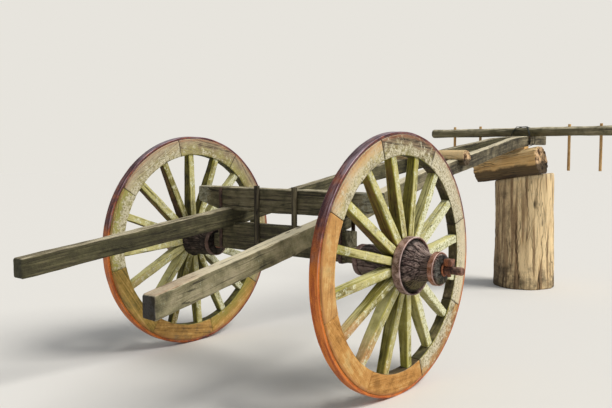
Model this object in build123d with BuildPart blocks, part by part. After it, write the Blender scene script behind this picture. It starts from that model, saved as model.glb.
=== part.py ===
"""Two-wheeled bullock cart, stripped to its running gear and parked on a stump. Sizes in millimetres."""
from build123d import *
import os
from math import cos, degrees, radians, sin, sqrt, tan

# Wheels
WHEEL_D = 1350.0            # over the iron tyre
WHEEL_Y = 804.0             # centre plane of the cart to the middle of a rim
TYRE_T = 16.0               # radial thickness of the tyre
TYRE_W = 52.0
FELLOE_DEPTH = 103.0        # radial depth of the wooden rim
FELLOE_W = 60.0
FELLOES = 8
FELLOE_GAP = 1.2            # open joint between two felloes
SPOKES = 16
SPOKE_HUB_W = 38.0          # tangential width where a spoke leaves the nave
SPOKE_W = 47.0
SPOKE_SWELL = 50.0          # radial length over which it swells to that width
SPOKE_RIM_W = 45.0
SPOKE_HUB_T = 74.0          # axial thickness at the nave
SPOKE_RIM_T = 46.0
SPOKE_CHAMFER = 5.0
TENON_W = 24.0
TENON_T = 30.0
NAVE_TENON = 36.0           # depth of a tenon in the nave
FELLOE_TENON = 58.0         # depth of a tenon in a felloe

# Naves, axial stations counted outwards from the middle of the rim
SEAT_R = 105.0              # spoke seat
SEAT_OUT = 58.0             # outer edge of the seat
SEAT_IN = -22.0
NAVE_IN = -235.0            # inner end
NAVE_OUT = 260.0            # outer end
SHOULDER_R = 139.0          # wood inside the large band
BAND_T = 9.0
BAND_W = 46.0
BAND_LIP = 9.0              # how far the band stands over the wood
CONE_R = 124.0              # the outer wood starts at this radius inside the lip
WAIST_R = 69.0              # and tapers to this one
WAIST_OUT = 178.0
RING_SEAT_R = 76.0
RING_T = 8.0
RING_W = 30.0
RING_END = 12.0             # wood that shows past the outer ring
BARREL_R = 88.0
BUSH_R = 29.0
BORE_PLAY = 0.5             # radial, arm to bush

# Axle
AXLE_BAR = 40.0             # square of the bar and diameter of its round arms
ARM_END = 1172.0            # tip of an arm from the centre plane
COLLAR_R = 36.0
COLLAR_W = 9.0
COLLAR_GAP = 6.0            # collar to nave
BEAM_W = 112.0              # fore and aft
BEAM_H = 163.0
BEAM_HALF = 500.0
STUB_W = 88.0
STUB_H = 84.0
WASHER_R = 33.0
WASHER_T = 8.0
WASHER_GAP = 6.0
PIN_HEAD = 40.0
PIN_HEAD_H = 34.0
PIN_W = 15.0
PIN_BELOW = 14.0

# Shafts, stations counted forwards from the axle
REAR_X = 1405.0             # rear end of the right shaft behind the axle
LEFT_SHORT = 85.0           # the left shaft ends this much sooner
KNEE_X = 1000.0             # the shafts rise a little more steeply up to here
BROW_BACK = 420.0           # and flatten this far behind the yoke pole
YOKE_X = 3270.0             # yoke pole ahead of the axle
TIP_AHEAD = 390.0           # tips ahead of the yoke pole
REAR_Y = 600.0
AXLE_Y = 396.0
APEX_Y = 41.0
REAR_DROP = 215.0           # top edge at the rear end, below the top edge over the axle
KNEE_RISE = 197.0           # top edge at the knee, above the same, and so on forwards
BROW_RISE = 460.0
YOKE_RISE = 490.0
TIP_RISE = 488.0
BEAM_SEAT = 11.0            # how deep the shafts are let into the axle beam
BOLSTER_SEAT = 21.0         # and into the bolster
REAR_H = 98.0
AXLE_H = 108.0
KNEE_H = 105.0
BROW_H = 97.0
YOKE_H = 90.0
TIP_H = 80.0
REAR_W = 82.0
AXLE_W = 80.0
FRONT_W = 72.0
TIP_W = 58.0
SHAFT_GAP = 2.0             # between the shafts where they meet

# Cross members
BOLSTER_H = 140.0
BOLSTER_HALF = 682.0
BOLSTER_TAPER = 190.0       # length of the tapered underside at each end
BOLSTER_TIP_H = 94.0
STRAP_Y = 470.0
STRAP_W = 24.0
STRAP_T = 7.0               # let into the bolster by as much
STAKE_Y = 148.0
STAKE_W = 32.0
STAKE_T = 18.0
STAKE_L = 345.0
STAKE_UP = 16.0             # over the top of the bolster
BAR_X = 1645.0              # round cross bar ahead of the axle
BAR_R = 58.0
BAR_HALF = 303.0
BAR_SEAT = 55.0             # how deep the bar is cut over the shafts

# Yoke
YOKE_R = 42.0
YOKE_HALF = 945.0
YOKE_SEAT = 10.0
STICK_R = 13.0
STICK_IN = 430.0            # inner and outer stick of each neck, from the centre plane
STICK_OUT = 705.0
STICK_LOW = 350.0           # below the axis of the pole
STICK_HIGH = 62.0
WIRE = 9.0
WIRE_TURN = 32.0            # of each loop, from square to the shafts
WIRE_ROOM = 0.3             # between the wire and what it binds

# Stump, half log and packing blocks under the shafts
STUMP_AHEAD = 75.0          # middle of the stump ahead of the yoke pole
STUMP_R = 279.0
LOG_TILT = 8.8              # the near side lies higher
LOG_R = 134.0
LOG_H = 246.0
LOG_NEAR = 265.0            # reach of the half log to either side
LOG_FAR = 345.0
LOG_BACK = 140.0            # middle of the half log behind the yoke pole
PACK_H = 33.0               # top of the log to the underside of the shafts
PACK_L = 90.0               # fore and aft
PACK_W = 86.0
PACK_SEAT = 15.0            # how deep the blocks are let into the log

TIP_X = YOKE_X + TIP_AHEAD
BROW_X = YOKE_X - BROW_BACK
STUMP_X = YOKE_X + STUMP_AHEAD
LOG_X = YOKE_X - LOG_BACK
AXLE_X = (REAR_X - TIP_X) / 2
HUB_Z = WHEEL_D / 2
FELLOE_OUT_R = HUB_Z - TYRE_T
FELLOE_IN_R = FELLOE_OUT_R - FELLOE_DEPTH
BEAM_LOW = HUB_Z - AXLE_BAR / 2
AXLE_TOP = BEAM_LOW + BEAM_H - BEAM_SEAT + AXLE_H
REAR_TOP = AXLE_TOP - REAR_DROP
YOKE_TOP = AXLE_TOP + YOKE_RISE
TIP_TOP = AXLE_TOP + TIP_RISE
BOLSTER_LOW = AXLE_TOP - BOLSTER_SEAT
BOLSTER_TOP = BOLSTER_LOW + BOLSTER_H
SHAFT_CLOSING = (AXLE_Y - APEX_Y) / YOKE_X
STUB_END = WHEEL_Y + NAVE_IN - COLLAR_GAP - COLLAR_W
PIN_Y = WHEEL_Y + NAVE_OUT + WASHER_GAP + WASHER_T + PIN_HEAD / 2
SPOKE_STEP = 360.0 / SPOKES
FELLOE_STEP = 360.0 / FELLOES

os.makedirs("parts", exist_ok=True)


def across(x, y=0.0, z=0.0):
    """Plane seen from the right side: sketch x runs forwards, sketch y up."""
    return Plane(origin=(AXLE_X + x, y, z), x_dir=(1, 0, 0), z_dir=(0, -1, 0))


def level(z=0.0):
    """Horizontal plane at height z, centred on the axle."""
    return Plane(origin=(AXLE_X, 0, z))


def facing(x, y=0.0, z=0.0):
    """Plane square to the cart's length: sketch x runs to the left, sketch y up."""
    return Plane(origin=(AXLE_X + x, y, z), x_dir=(0, 1, 0), z_dir=(1, 0, 0))


# Side outline of the shafts: station, top edge, height
EDGES = [
    (-REAR_X, REAR_TOP, REAR_H), (0, AXLE_TOP, AXLE_H), (KNEE_X, AXLE_TOP + KNEE_RISE, KNEE_H),
    (BROW_X, AXLE_TOP + BROW_RISE, BROW_H), (YOKE_X, YOKE_TOP, YOKE_H), (TIP_X, TIP_TOP, TIP_H)]


def shaft_edges(station):
    """Top and bottom edge of the shafts at a station."""
    for (x, top, height), (next_x, next_top, next_height) in zip(EDGES, EDGES[1:]):
        if station <= next_x:
            share = (station - x) / (next_x - x)
            edge = top + share * (next_top - top)
            return edge, edge - height - share * (next_height - height)


STUMP_H = shaft_edges(LOG_X)[1] - PACK_H - LOG_H

# Shafts: the side outline and the plan outline, kept where both overlap
SIDE_OUTLINE = [(x, top) for x, top, _ in EDGES] + [(x, top - height) for x, top, height in reversed(EDGES)]
shaft_parts = {}
for side_name, side in (("right", -1), ("left", 1)):
    plan_outline = [
        (-REAR_X, side * (REAR_Y - REAR_W / 2)), (0, side * (AXLE_Y - AXLE_W / 2)),
        (YOKE_X, side * (APEX_Y - FRONT_W / 2)), (TIP_X, side * SHAFT_GAP / 2),
        (TIP_X, side * (SHAFT_GAP / 2 + TIP_W)), (YOKE_X, side * (APEX_Y + FRONT_W / 2)),
        (0, side * (AXLE_Y + AXLE_W / 2)), (-REAR_X, side * (REAR_Y + REAR_W / 2))]
    with BuildPart() as shaft:
        with BuildSketch(across(0)):
            with BuildLine():
                Polyline(*SIDE_OUTLINE, close=True)
            make_face()
        extrude(amount=REAR_Y + REAR_W, both=True)
        with BuildSketch(level(0)):
            with BuildLine():
                Polyline(*plan_outline, close=True)
            make_face()
        extrude(amount=TIP_TOP + 100, mode=Mode.INTERSECT)
        if side_name == "left":
            with BuildSketch(facing(-REAR_X + LEFT_SHORT, 0, REAR_TOP)):
                Rectangle(4 * REAR_Y, 8 * REAR_H)
            extrude(amount=-LEFT_SHORT - 10, mode=Mode.SUBTRACT)
    shaft.part.label = f"shaft_{side_name}"
    shaft_parts[side_name] = shaft.part
    export_step(shaft.part, f"parts/shaft_{side_name}.step")

# Axle beam, housed under the shafts, with the iron bar let into its underside
with BuildPart() as axle_beam:
    with BuildSketch(facing(0)):
        with BuildLine():
            Polyline(
                (-BEAM_HALF, BEAM_LOW), (-STUB_END, BEAM_LOW), (-STUB_END, BEAM_LOW + STUB_H),
                (-BEAM_HALF - 10, BEAM_LOW + STUB_H), (-BEAM_HALF, BEAM_LOW + STUB_H + 12),
                (-BEAM_HALF, BEAM_LOW + BEAM_H), (BEAM_HALF, BEAM_LOW + BEAM_H),
                (BEAM_HALF, BEAM_LOW + STUB_H + 12), (BEAM_HALF + 10, BEAM_LOW + STUB_H),
                (STUB_END, BEAM_LOW + STUB_H), (STUB_END, BEAM_LOW), close=True)
        make_face()
    extrude(amount=BEAM_W / 2, both=True)
    for side in (-1, 1):
        for edge in (-1, 1):
            with BuildSketch(level(BEAM_LOW)):
                with Locations((edge * (STUB_W + BEAM_W) / 4, side * (BEAM_HALF + STUB_END) / 2)):
                    Rectangle((BEAM_W - STUB_W) / 2, STUB_END - BEAM_HALF)
            extrude(amount=STUB_H, mode=Mode.SUBTRACT)
    with BuildSketch(facing(0)):
        with Locations((0, HUB_Z)):
            Rectangle(2 * STUB_END, AXLE_BAR)
    extrude(amount=AXLE_BAR / 2, both=True, mode=Mode.SUBTRACT)
    add(shaft_parts["right"], mode=Mode.SUBTRACT)
    add(shaft_parts["left"], mode=Mode.SUBTRACT)
axle_beam.part.label = "axle_beam"
export_step(axle_beam.part, "parts/axle_beam.step")

with BuildPart() as axle_bar:
    with BuildSketch(across(0, STUB_END, HUB_Z)):
        Rectangle(AXLE_BAR, AXLE_BAR)
    extrude(amount=2 * STUB_END)
    for side in (-1, 1):
        with BuildSketch(across(0, side * STUB_END, HUB_Z)):
            Circle(COLLAR_R)
        extrude(amount=-side * COLLAR_W)
        with BuildSketch(across(0, side * STUB_END, HUB_Z)):
            Circle(AXLE_BAR / 2)
        extrude(amount=-side * (ARM_END - STUB_END))
        with BuildSketch(level(HUB_Z)):
            with Locations((0, side * PIN_Y)):
                Rectangle(PIN_W, PIN_W)
        extrude(amount=AXLE_BAR, both=True, mode=Mode.SUBTRACT)
axle_bar.part.label = "axle_bar"
export_step(axle_bar.part, "parts/axle_bar.step")

# Bolster, housed over the shafts and grooved for the straps, with its ends tapered on the underside
with BuildPart() as bolster:
    with BuildSketch(facing(0)):
        with BuildLine():
            Polyline(
                (-BOLSTER_HALF, BOLSTER_TOP), (BOLSTER_HALF, BOLSTER_TOP),
                (BOLSTER_HALF, BOLSTER_TOP - BOLSTER_TIP_H), (BOLSTER_HALF - BOLSTER_TAPER, BOLSTER_LOW),
                (-BOLSTER_HALF + BOLSTER_TAPER, BOLSTER_LOW), (-BOLSTER_HALF, BOLSTER_TOP - BOLSTER_TIP_H),
                close=True)
        make_face()
    extrude(amount=BEAM_W / 2, both=True)
    with BuildSketch(facing(0)):
        with Locations((-STRAP_Y, BOLSTER_TOP - STRAP_T / 2), (STRAP_Y, BOLSTER_TOP - STRAP_T / 2)):
            Rectangle(STRAP_W, STRAP_T)
    extrude(amount=BEAM_W / 2, both=True, mode=Mode.SUBTRACT)
    add(shaft_parts["right"], mode=Mode.SUBTRACT)
    add(shaft_parts["left"], mode=Mode.SUBTRACT)
bolster.part.label = "bolster"
export_step(bolster.part, "parts/bolster.step")

# Iron straps that bind bolster and axle beam outside the shafts
with BuildPart() as binding_straps:
    for side in (-1, 1):
        with BuildSketch(across(0, side * STRAP_Y, (BOLSTER_TOP - STRAP_T + BEAM_LOW) / 2)):
            Rectangle(BEAM_W + 2 * STRAP_T, BOLSTER_TOP - BEAM_LOW + STRAP_T)
            Rectangle(BEAM_W, BOLSTER_TOP - BEAM_LOW - STRAP_T, mode=Mode.SUBTRACT)
        extrude(amount=STRAP_W / 2, both=True)
binding_straps.part.label = "binding_straps"
export_step(binding_straps.part, "parts/binding_straps.step")

with BuildPart() as stakes:
    for side in (-1, 1):
        with BuildSketch(level(BOLSTER_TOP + STAKE_UP)):
            with Locations((-(BEAM_W + STAKE_T) / 2, side * STAKE_Y)):
                Rectangle(STAKE_T, STAKE_W)
        extrude(amount=-STAKE_L)
stakes.part.label = "stakes"
export_step(stakes.part, "parts/stakes.step")

# Round cross bar cut over the shafts
with BuildPart() as cross_bar:
    with BuildSketch(across(BAR_X, 0, shaft_edges(BAR_X)[0] + BAR_R - BAR_SEAT)):
        Circle(BAR_R)
    extrude(amount=BAR_HALF, both=True)
    add(shaft_parts["right"], mode=Mode.SUBTRACT)
    add(shaft_parts["left"], mode=Mode.SUBTRACT)
cross_bar.part.label = "cross_bar"
export_step(cross_bar.part, "parts/cross_bar.step")

# Yoke pole with neck sticks
YOKE_Z = YOKE_TOP + YOKE_R - YOKE_SEAT
STICKS = [(side * y) for side in (-1, 1) for y in (STICK_IN, STICK_OUT)]
with BuildPart() as yoke_pole:
    with BuildSketch(across(YOKE_X, 0, YOKE_Z)):
        Circle(YOKE_R)
    extrude(amount=YOKE_HALF, both=True)
    with BuildSketch(level(YOKE_Z)):
        with Locations(*[(YOKE_X, y) for y in STICKS]):
            Circle(STICK_R)
    extrude(amount=YOKE_R * 2, both=True, mode=Mode.SUBTRACT)
    add(shaft_parts["right"], mode=Mode.SUBTRACT)
    add(shaft_parts["left"], mode=Mode.SUBTRACT)
yoke_pole.part.label = "yoke_pole"
export_step(yoke_pole.part, "parts/yoke_pole.step")

with BuildPart() as neck_sticks:
    with BuildSketch(level(YOKE_Z - STICK_LOW)):
        with Locations(*[(YOKE_X, y) for y in STICKS]):
            Circle(STICK_R)
    extrude(amount=STICK_LOW + STICK_HIGH)
neck_sticks.part.label = "neck_sticks"
export_step(neck_sticks.part, "parts/neck_sticks.step")

# Wire lashing: two crossed loops over the pole and under both shafts
TURN_SIN, TURN_COS = sin(radians(WIRE_TURN)), cos(radians(WIRE_TURN))
WIRE_POLE = (YOKE_R + WIRE_ROOM + WIRE / 2 * TURN_COS) / TURN_SIN
WIRE_SHAFT = (APEX_Y + FRONT_W / 2 + WIRE_ROOM + WIRE / 2) / (TURN_COS - SHAFT_CLOSING * TURN_SIN)
WIRE_TOP = YOKE_Z + YOKE_R + WIRE_ROOM
WIRE_LOW = shaft_edges(YOKE_X - (WIRE_SHAFT + WIRE) * TURN_SIN)[1] - WIRE_ROOM
with BuildPart() as yoke_lashing:
    for side in (1, -1):
        plane = Plane(
            origin=(AXLE_X + YOKE_X, 0, 0), x_dir=(TURN_SIN, side * TURN_COS, 0),
            z_dir=(side * TURN_COS, -TURN_SIN, 0))
        with BuildSketch(plane):
            for grow, keep in ((WIRE, Mode.ADD), (0, Mode.SUBTRACT)):
                with BuildLine():
                    Polyline(
                        (0, WIRE_TOP + grow), (WIRE_POLE * 0.7 + grow, WIRE_TOP + grow),
                        (WIRE_POLE + grow, WIRE_TOP - YOKE_R * 0.8), (WIRE_SHAFT + grow, YOKE_TOP + WIRE / 2),
                        (WIRE_SHAFT + grow, WIRE_LOW - grow), (0, WIRE_LOW - grow))
                    mirror(about=Plane.YZ)
                make_face(mode=keep)
        extrude(amount=WIRE / 2, both=True)
yoke_lashing.part.label = "yoke_lashing"
export_step(yoke_lashing.part, "parts/yoke_lashing.step")

# Stump cut on a slant
STUMP_SLANT = STUMP_R * tan(radians(LOG_TILT))
with BuildPart() as stump:
    with BuildSketch(level(0)):
        with Locations((STUMP_X, 0)):
            Circle(STUMP_R)
    extrude(amount=STUMP_H + STUMP_SLANT)
    with BuildSketch(facing(STUMP_X)):
        with BuildLine():
            Polyline(
                (-STUMP_R, STUMP_H + STUMP_SLANT), (STUMP_R, STUMP_H - STUMP_SLANT),
                (STUMP_R, STUMP_H + STUMP_SLANT), close=True)
        make_face()
    extrude(amount=STUMP_R, both=True, mode=Mode.SUBTRACT)
stump.part.label = "stump"
export_step(stump.part, "parts/stump.step")

# Packing blocks that level the tilted log, let into it and cut to the shafts' undersides
LOG_TOP = STUMP_H + LOG_H / cos(radians(LOG_TILT))
with BuildPart() as packing_blocks:
    for side in (-1, 1):
        y = side * (APEX_Y + SHAFT_CLOSING * LOG_BACK)
        low = LOG_TOP - y * tan(radians(LOG_TILT)) - PACK_SEAT
        back, front = LOG_X - PACK_L / 2, LOG_X + PACK_L / 2
        with BuildSketch(across(0, y)):
            with BuildLine():
                Polyline(
                    (back, low), (front, low), (front, shaft_edges(front)[1]),
                    (back, shaft_edges(back)[1]), close=True)
            make_face()
        extrude(amount=PACK_W / 2, both=True)
packing_blocks.part.label = "packing_blocks"
export_step(packing_blocks.part, "parts/packing_blocks.step")

# Half log that lies across the stump, its flat side down
with BuildPart() as half_log:
    slant = Plane(
        origin=(AXLE_X + LOG_X, 0, STUMP_H), x_dir=(1, 0, 0),
        z_dir=(0, -cos(radians(LOG_TILT)), sin(radians(LOG_TILT))))
    with BuildSketch(slant.offset(-LOG_FAR)):
        with Locations((0, LOG_H - LOG_R)):
            Circle(LOG_R)
        with Locations((0, -LOG_R)):
            Rectangle(4 * LOG_R, 2 * LOG_R, mode=Mode.SUBTRACT)
    extrude(amount=LOG_FAR + LOG_NEAR)
    add(packing_blocks.part, mode=Mode.SUBTRACT)
half_log.part.label = "half_log"
export_step(half_log.part, "parts/half_log.step")

# Washers and linchpins on the axle arms
with BuildPart() as washers:
    for side in (-1, 1):
        with BuildSketch(across(0, side * (PIN_Y - PIN_HEAD / 2), HUB_Z)):
            Circle(WASHER_R)
            Circle(AXLE_BAR / 2, mode=Mode.SUBTRACT)
        extrude(amount=side * WASHER_T)
washers.part.label = "washers"
export_step(washers.part, "parts/washers.step")

with BuildPart() as linchpins:
    for side in (-1, 1):
        with BuildSketch(level(HUB_Z)):
            with Locations((0, side * PIN_Y)):
                Rectangle(PIN_W, PIN_W)
        extrude(amount=AXLE_BAR / 2 + PIN_HEAD_H)
        with BuildSketch(level(HUB_Z)):
            with Locations((0, side * PIN_Y)):
                Rectangle(PIN_W, PIN_W)
        extrude(amount=-(AXLE_BAR / 2 + PIN_BELOW))
        with BuildSketch(level(HUB_Z + AXLE_BAR / 2)):
            with Locations((0, side * PIN_Y)):
                Rectangle(PIN_HEAD, PIN_HEAD)
        extrude(amount=PIN_HEAD_H)
linchpins.part.label = "linchpins"
export_step(linchpins.part, "parts/linchpins.step")

# Wheels. Profile stations run outwards from the rim, so the two sides mirror each other.
RING_OUT = NAVE_OUT - RING_END - RING_W
LIP_OUT = SEAT_OUT + BAND_W - BAND_LIP
NAVE_PROFILE = [
    (NAVE_IN, BUSH_R), (NAVE_IN, RING_SEAT_R), (NAVE_IN + RING_W, RING_SEAT_R),
    (NAVE_IN + RING_W, BARREL_R), (SEAT_IN, BARREL_R), (SEAT_IN, SEAT_R), (SEAT_OUT, SEAT_R),
    (SEAT_OUT, SHOULDER_R), (LIP_OUT, SHOULDER_R), (LIP_OUT, CONE_R), (WAIST_OUT, WAIST_R),
    (RING_OUT, WAIST_R),
    (RING_OUT, RING_SEAT_R), (NAVE_OUT, RING_SEAT_R), (NAVE_OUT, BUSH_R)]
# Bands: start of the band, its width, its inner radius, its thickness
RINGS = [
    (SEAT_OUT, BAND_W, SHOULDER_R, BAND_T),
    (NAVE_IN, RING_W, RING_SEAT_R, RING_T),
    (RING_OUT, RING_W, RING_SEAT_R, RING_T)]
# Wheels: name, side, angle of the first spoke, angle of the first felloe joint
WHEELS = [("right", -1, 8.5, 17.5), ("left", 1, 3.0, 12.0)]
NAVE_TENON_R = SEAT_R - NAVE_TENON
FELLOE_TENON_R = FELLOE_IN_R + FELLOE_TENON
SPOKE_END = sqrt(FELLOE_IN_R ** 2 - (SPOKE_RIM_W / 2) ** 2)     # its corners touch the felloe
for side_name, side, spoke_turn, joint_turn in WHEELS:
    hub = Vector(AXLE_X, side * WHEEL_Y, HUB_Z)
    seat_mid = side * (SEAT_OUT - SPOKE_HUB_T / 2)
    turns = [spoke_turn + k * SPOKE_STEP for k in range(SPOKES)]
    with BuildPart() as spoke:
        with BuildSketch(Plane(origin=(0, 0, 0), x_dir=(1, 0, 0), z_dir=(0, -1, 0))):
            with BuildLine():
                edge = Polyline(
                    (NAVE_TENON_R, TENON_W / 2), (SEAT_R, TENON_W / 2), (SEAT_R, SPOKE_HUB_W / 2),
                    (SEAT_R + SPOKE_SWELL, SPOKE_W / 2), (SPOKE_END, SPOKE_RIM_W / 2),
                    (SPOKE_END, TENON_W / 2), (FELLOE_TENON_R, TENON_W / 2), (FELLOE_TENON_R, 0))
                Line(edge @ 0, (NAVE_TENON_R, 0))
                mirror(about=Plane.XZ)
            make_face()
        extrude(amount=SPOKE_HUB_T, both=True)
        with BuildSketch(Plane.XY):
            with BuildLine():
                Polyline(
                    (NAVE_TENON_R, seat_mid - TENON_T / 2), (SEAT_R, seat_mid - TENON_T / 2),
                    (SEAT_R, seat_mid - SPOKE_HUB_T / 2), (SPOKE_END, -SPOKE_RIM_T / 2),
                    (SPOKE_END, -TENON_T / 2), (FELLOE_TENON_R, -TENON_T / 2),
                    (FELLOE_TENON_R, TENON_T / 2), (SPOKE_END, TENON_T / 2),
                    (SPOKE_END, SPOKE_RIM_T / 2), (SEAT_R, seat_mid + SPOKE_HUB_T / 2),
                    (SEAT_R, seat_mid + TENON_T / 2), (NAVE_TENON_R, seat_mid + TENON_T / 2), close=True)
            make_face()
        extrude(amount=SPOKE_W, both=True, mode=Mode.INTERSECT)
        body = spoke.edges().filter_by(lambda e: SEAT_R < e.center().X < SPOKE_END)
        chamfer(body.filter_by(lambda e: abs((e % 0.5).X) > 0.9), SPOKE_CHAMFER)
    with BuildPart() as spokes:
        with Locations(*[Location(tuple(hub), (0, -turn, 0)) for turn in turns]):
            add(spoke.part)
    spokes.part.label = f"spokes_{side_name}"
    export_step(spokes.part, f"parts/spokes_{side_name}.step")

    with BuildPart() as nave:
        with BuildSketch(Plane(origin=hub, x_dir=(0, side, 0), z_dir=(side, 0, 0))):
            with BuildLine():
                Polyline(*NAVE_PROFILE, close=True)
            make_face()
        revolve(axis=Axis(hub, (0, 1, 0)))
        add(spokes.part, mode=Mode.SUBTRACT)
    nave.part.label = f"nave_{side_name}"
    export_step(nave.part, f"parts/nave_{side_name}.step")

    with BuildPart() as bush:
        with BuildSketch(across(0, side * (WHEEL_Y + NAVE_IN), HUB_Z)):
            Circle(BUSH_R)
            Circle(AXLE_BAR / 2 + BORE_PLAY, mode=Mode.SUBTRACT)
        extrude(amount=-side * (NAVE_OUT - NAVE_IN))
    bush.part.label = f"bush_{side_name}"
    export_step(bush.part, f"parts/bush_{side_name}.step")

    with BuildPart() as nave_bands:
        for start, width, inner, thick in RINGS:
            with BuildSketch(across(0, side * (WHEEL_Y + start), HUB_Z)):
                Circle(inner + thick)
                Circle(inner, mode=Mode.SUBTRACT)
            extrude(amount=-side * width)
    nave_bands.part.label = f"nave_bands_{side_name}"
    export_step(nave_bands.part, f"parts/nave_bands_{side_name}.step")

    with BuildPart() as felloes:
        for k in range(FELLOES):
            start = joint_turn + k * FELLOE_STEP
            gap = degrees(FELLOE_GAP / FELLOE_OUT_R)
            with BuildSketch(across(0, side * WHEEL_Y, HUB_Z)):
                with BuildLine():
                    outer = CenterArc((0, 0), FELLOE_OUT_R, start + gap / 2, FELLOE_STEP - gap)
                    inner = CenterArc((0, 0), FELLOE_IN_R, start + gap / 2, FELLOE_STEP - gap)
                    Line(outer @ 0, inner @ 0)
                    Line(outer @ 1, inner @ 1)
                make_face()
            extrude(amount=FELLOE_W / 2, both=True)
        add(spokes.part, mode=Mode.SUBTRACT)
    felloes.part.label = f"felloes_{side_name}"
    export_step(felloes.part, f"parts/felloes_{side_name}.step")

    with BuildPart() as tyre:
        with BuildSketch(across(0, side * WHEEL_Y, HUB_Z)):
            Circle(HUB_Z)
            Circle(FELLOE_OUT_R, mode=Mode.SUBTRACT)
        extrude(amount=TYRE_W / 2, both=True)
    tyre.part.label = f"tyre_{side_name}"
    export_step(tyre.part, f"parts/tyre_{side_name}.step")
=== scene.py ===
"""Weathered looks for a two-wheeled bullock cart parked on a stump. Lengths are in metres, in the model's
frame."""
from math import cos, pi, radians, sin, sqrt, tan
import bmesh
import bpy
import numpy as np
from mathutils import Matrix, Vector


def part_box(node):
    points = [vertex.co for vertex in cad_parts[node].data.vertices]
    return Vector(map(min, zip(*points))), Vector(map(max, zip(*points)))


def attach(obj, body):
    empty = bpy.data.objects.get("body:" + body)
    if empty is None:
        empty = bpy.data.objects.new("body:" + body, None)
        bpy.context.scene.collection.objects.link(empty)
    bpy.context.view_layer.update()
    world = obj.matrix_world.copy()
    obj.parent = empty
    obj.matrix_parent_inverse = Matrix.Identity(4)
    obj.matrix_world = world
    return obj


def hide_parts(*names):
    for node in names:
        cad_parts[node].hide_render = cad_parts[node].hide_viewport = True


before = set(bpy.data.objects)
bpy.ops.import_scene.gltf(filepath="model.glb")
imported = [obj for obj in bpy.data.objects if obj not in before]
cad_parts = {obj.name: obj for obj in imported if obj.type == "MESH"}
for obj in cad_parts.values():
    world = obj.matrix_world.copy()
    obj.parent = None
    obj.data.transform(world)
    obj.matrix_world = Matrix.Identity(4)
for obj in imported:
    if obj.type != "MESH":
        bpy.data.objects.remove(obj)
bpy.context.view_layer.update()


# Sizes: what the frame's boxes give, then the stations along the pieces, counted from the axle
def middle_and_half(node):
    """Middle of a node's box and half its size each way."""
    low, high = (np.array(corner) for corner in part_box(node))
    return (low + high) / 2, (high - low) / 2


X, Y, Z = np.eye(3)
WHEEL_MIDDLE, WHEEL_HALF = middle_and_half("tyre_right")
FELLOE_HALF = middle_and_half("felloes_right")[1]
AXLE_X, WHEEL_Y, HUB_Z = WHEEL_MIDDLE * (1, -1, 1)
WHEEL_R = WHEEL_HALF[0]
TYRE_W = 2 * WHEEL_HALF[1]
FELLOE_OUT_R = FELLOE_HALF[0]
FELLOE_W = 2 * FELLOE_HALF[1]
TYRE_T = WHEEL_R - FELLOE_OUT_R
FELLOE_DEPTH = 0.103
FELLOE_IN_R = FELLOE_OUT_R - FELLOE_DEPTH
FELLOE_GAP = 0.0012
FELLOES = 8
SPOKES = 16

# Nave, with stations outwards from the middle of the rim
SEAT_R = 0.105
SEAT_OUT = 0.058
NAVE_IN = -0.235
NAVE_OUT = 0.260
BUSH_R = 0.029
BAND_W = 0.046
BAND_LIP = 0.009
RING_W = 0.030
RING_OUT = NAVE_OUT - 0.042

# Spokes: how far they reach into nave and rim, then radii with the size there: width in the wheel's plane,
# depth along the axle, and lean out of the rim's middle
SPOKE_IN_NAVE, SPOKE_IN_RIM = 0.012, 0.008
SPOKE_WIDTH = ([SEAT_R, SEAT_R + 0.05, FELLOE_IN_R], [0.038, 0.047, 0.045])
SPOKE_DEPTH = ([SEAT_R, FELLOE_IN_R], [0.074, 0.046])
SPOKE_LEAN = ([SEAT_R, FELLOE_IN_R], [SEAT_OUT - 0.037, 0])

# Shafts: station ahead of the axle, distance from the centre plane, top edge, height, width
SHAFT_STATIONS = np.array([
    (-1.405, 0.600, 0.700, 0.098, 0.082),
    (0.000, 0.396, 0.915, 0.108, 0.080),
    (1.000, 0.2874, 1.112, 0.105, 0.0776),
    (2.850, 0.0866, 1.375, 0.097, 0.0730),
    (3.270, 0.041, 1.405, 0.090, 0.072),
    (3.660, 0.030, 1.403, 0.080, 0.058)])
LEFT_SHORT = 0.085

# Cross members: the axle beam's stubs start at STUB_AT from the centre plane, behind a short shoulder
BEAM_W = 0.112
BEAM_MIDDLE, BEAM_HALF = middle_and_half("axle_beam")
STUB_AT, SHOULDER = 0.500, 0.006
STUB_H, STUB_W = 0.084, 0.088
BOLSTER_MIDDLE, BOLSTER_HALF = middle_and_half("bolster")
BOLSTER_TAPER = 0.190
BOLSTER_TIP_H = 0.094
CROSS_BAR_R, YOKE_R = 0.057, 0.041

# Stump, half log and packing
STUMP_MIDDLE, STUMP_HALF = middle_and_half("stump")
KNOT_ANGLE, KNOT_Z = 3.92, 0.76
KNOT_HALF_W, KNOT_HALF_H = 0.017, 0.042
LOG_TILT = radians(8.8)
LOG_R = 0.134
LOG_H = 0.246
LOG_NEAR, LOG_FAR = -0.265, 0.345
PACK_Y = 0.0562
PACK_W = 0.086

# Small timbers and iron, with distances from the centre plane
STICK_YS = (-0.705, -0.430, 0.430, 0.705)
STICK_R = 0.0125
STAKE_Y, STAKE_HALF = 0.148, 0.016
STRAP_Y, STRAP_HALF, STRAP_T, STRAP_BEND = 0.470, 0.012, 0.007, 0.010
WIRE_R, WIRE_TURN = 0.0028, radians(32)
ARM_R, ARM_HALF = 0.0199, 0.020
COLLAR_Y = WHEEL_Y + NAVE_IN - 0.015
COLLAR_R, COLLAR_W = 0.036, 0.009
WASHER_IN_R, WASHER_OUT_R, WASHER_T = 0.0202, 0.033, 0.008
PIN_HEAD, PIN_SHANK = 0.020, 0.0075
PIN_Y = middle_and_half("linchpins")[1][1] - PIN_HEAD

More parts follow.
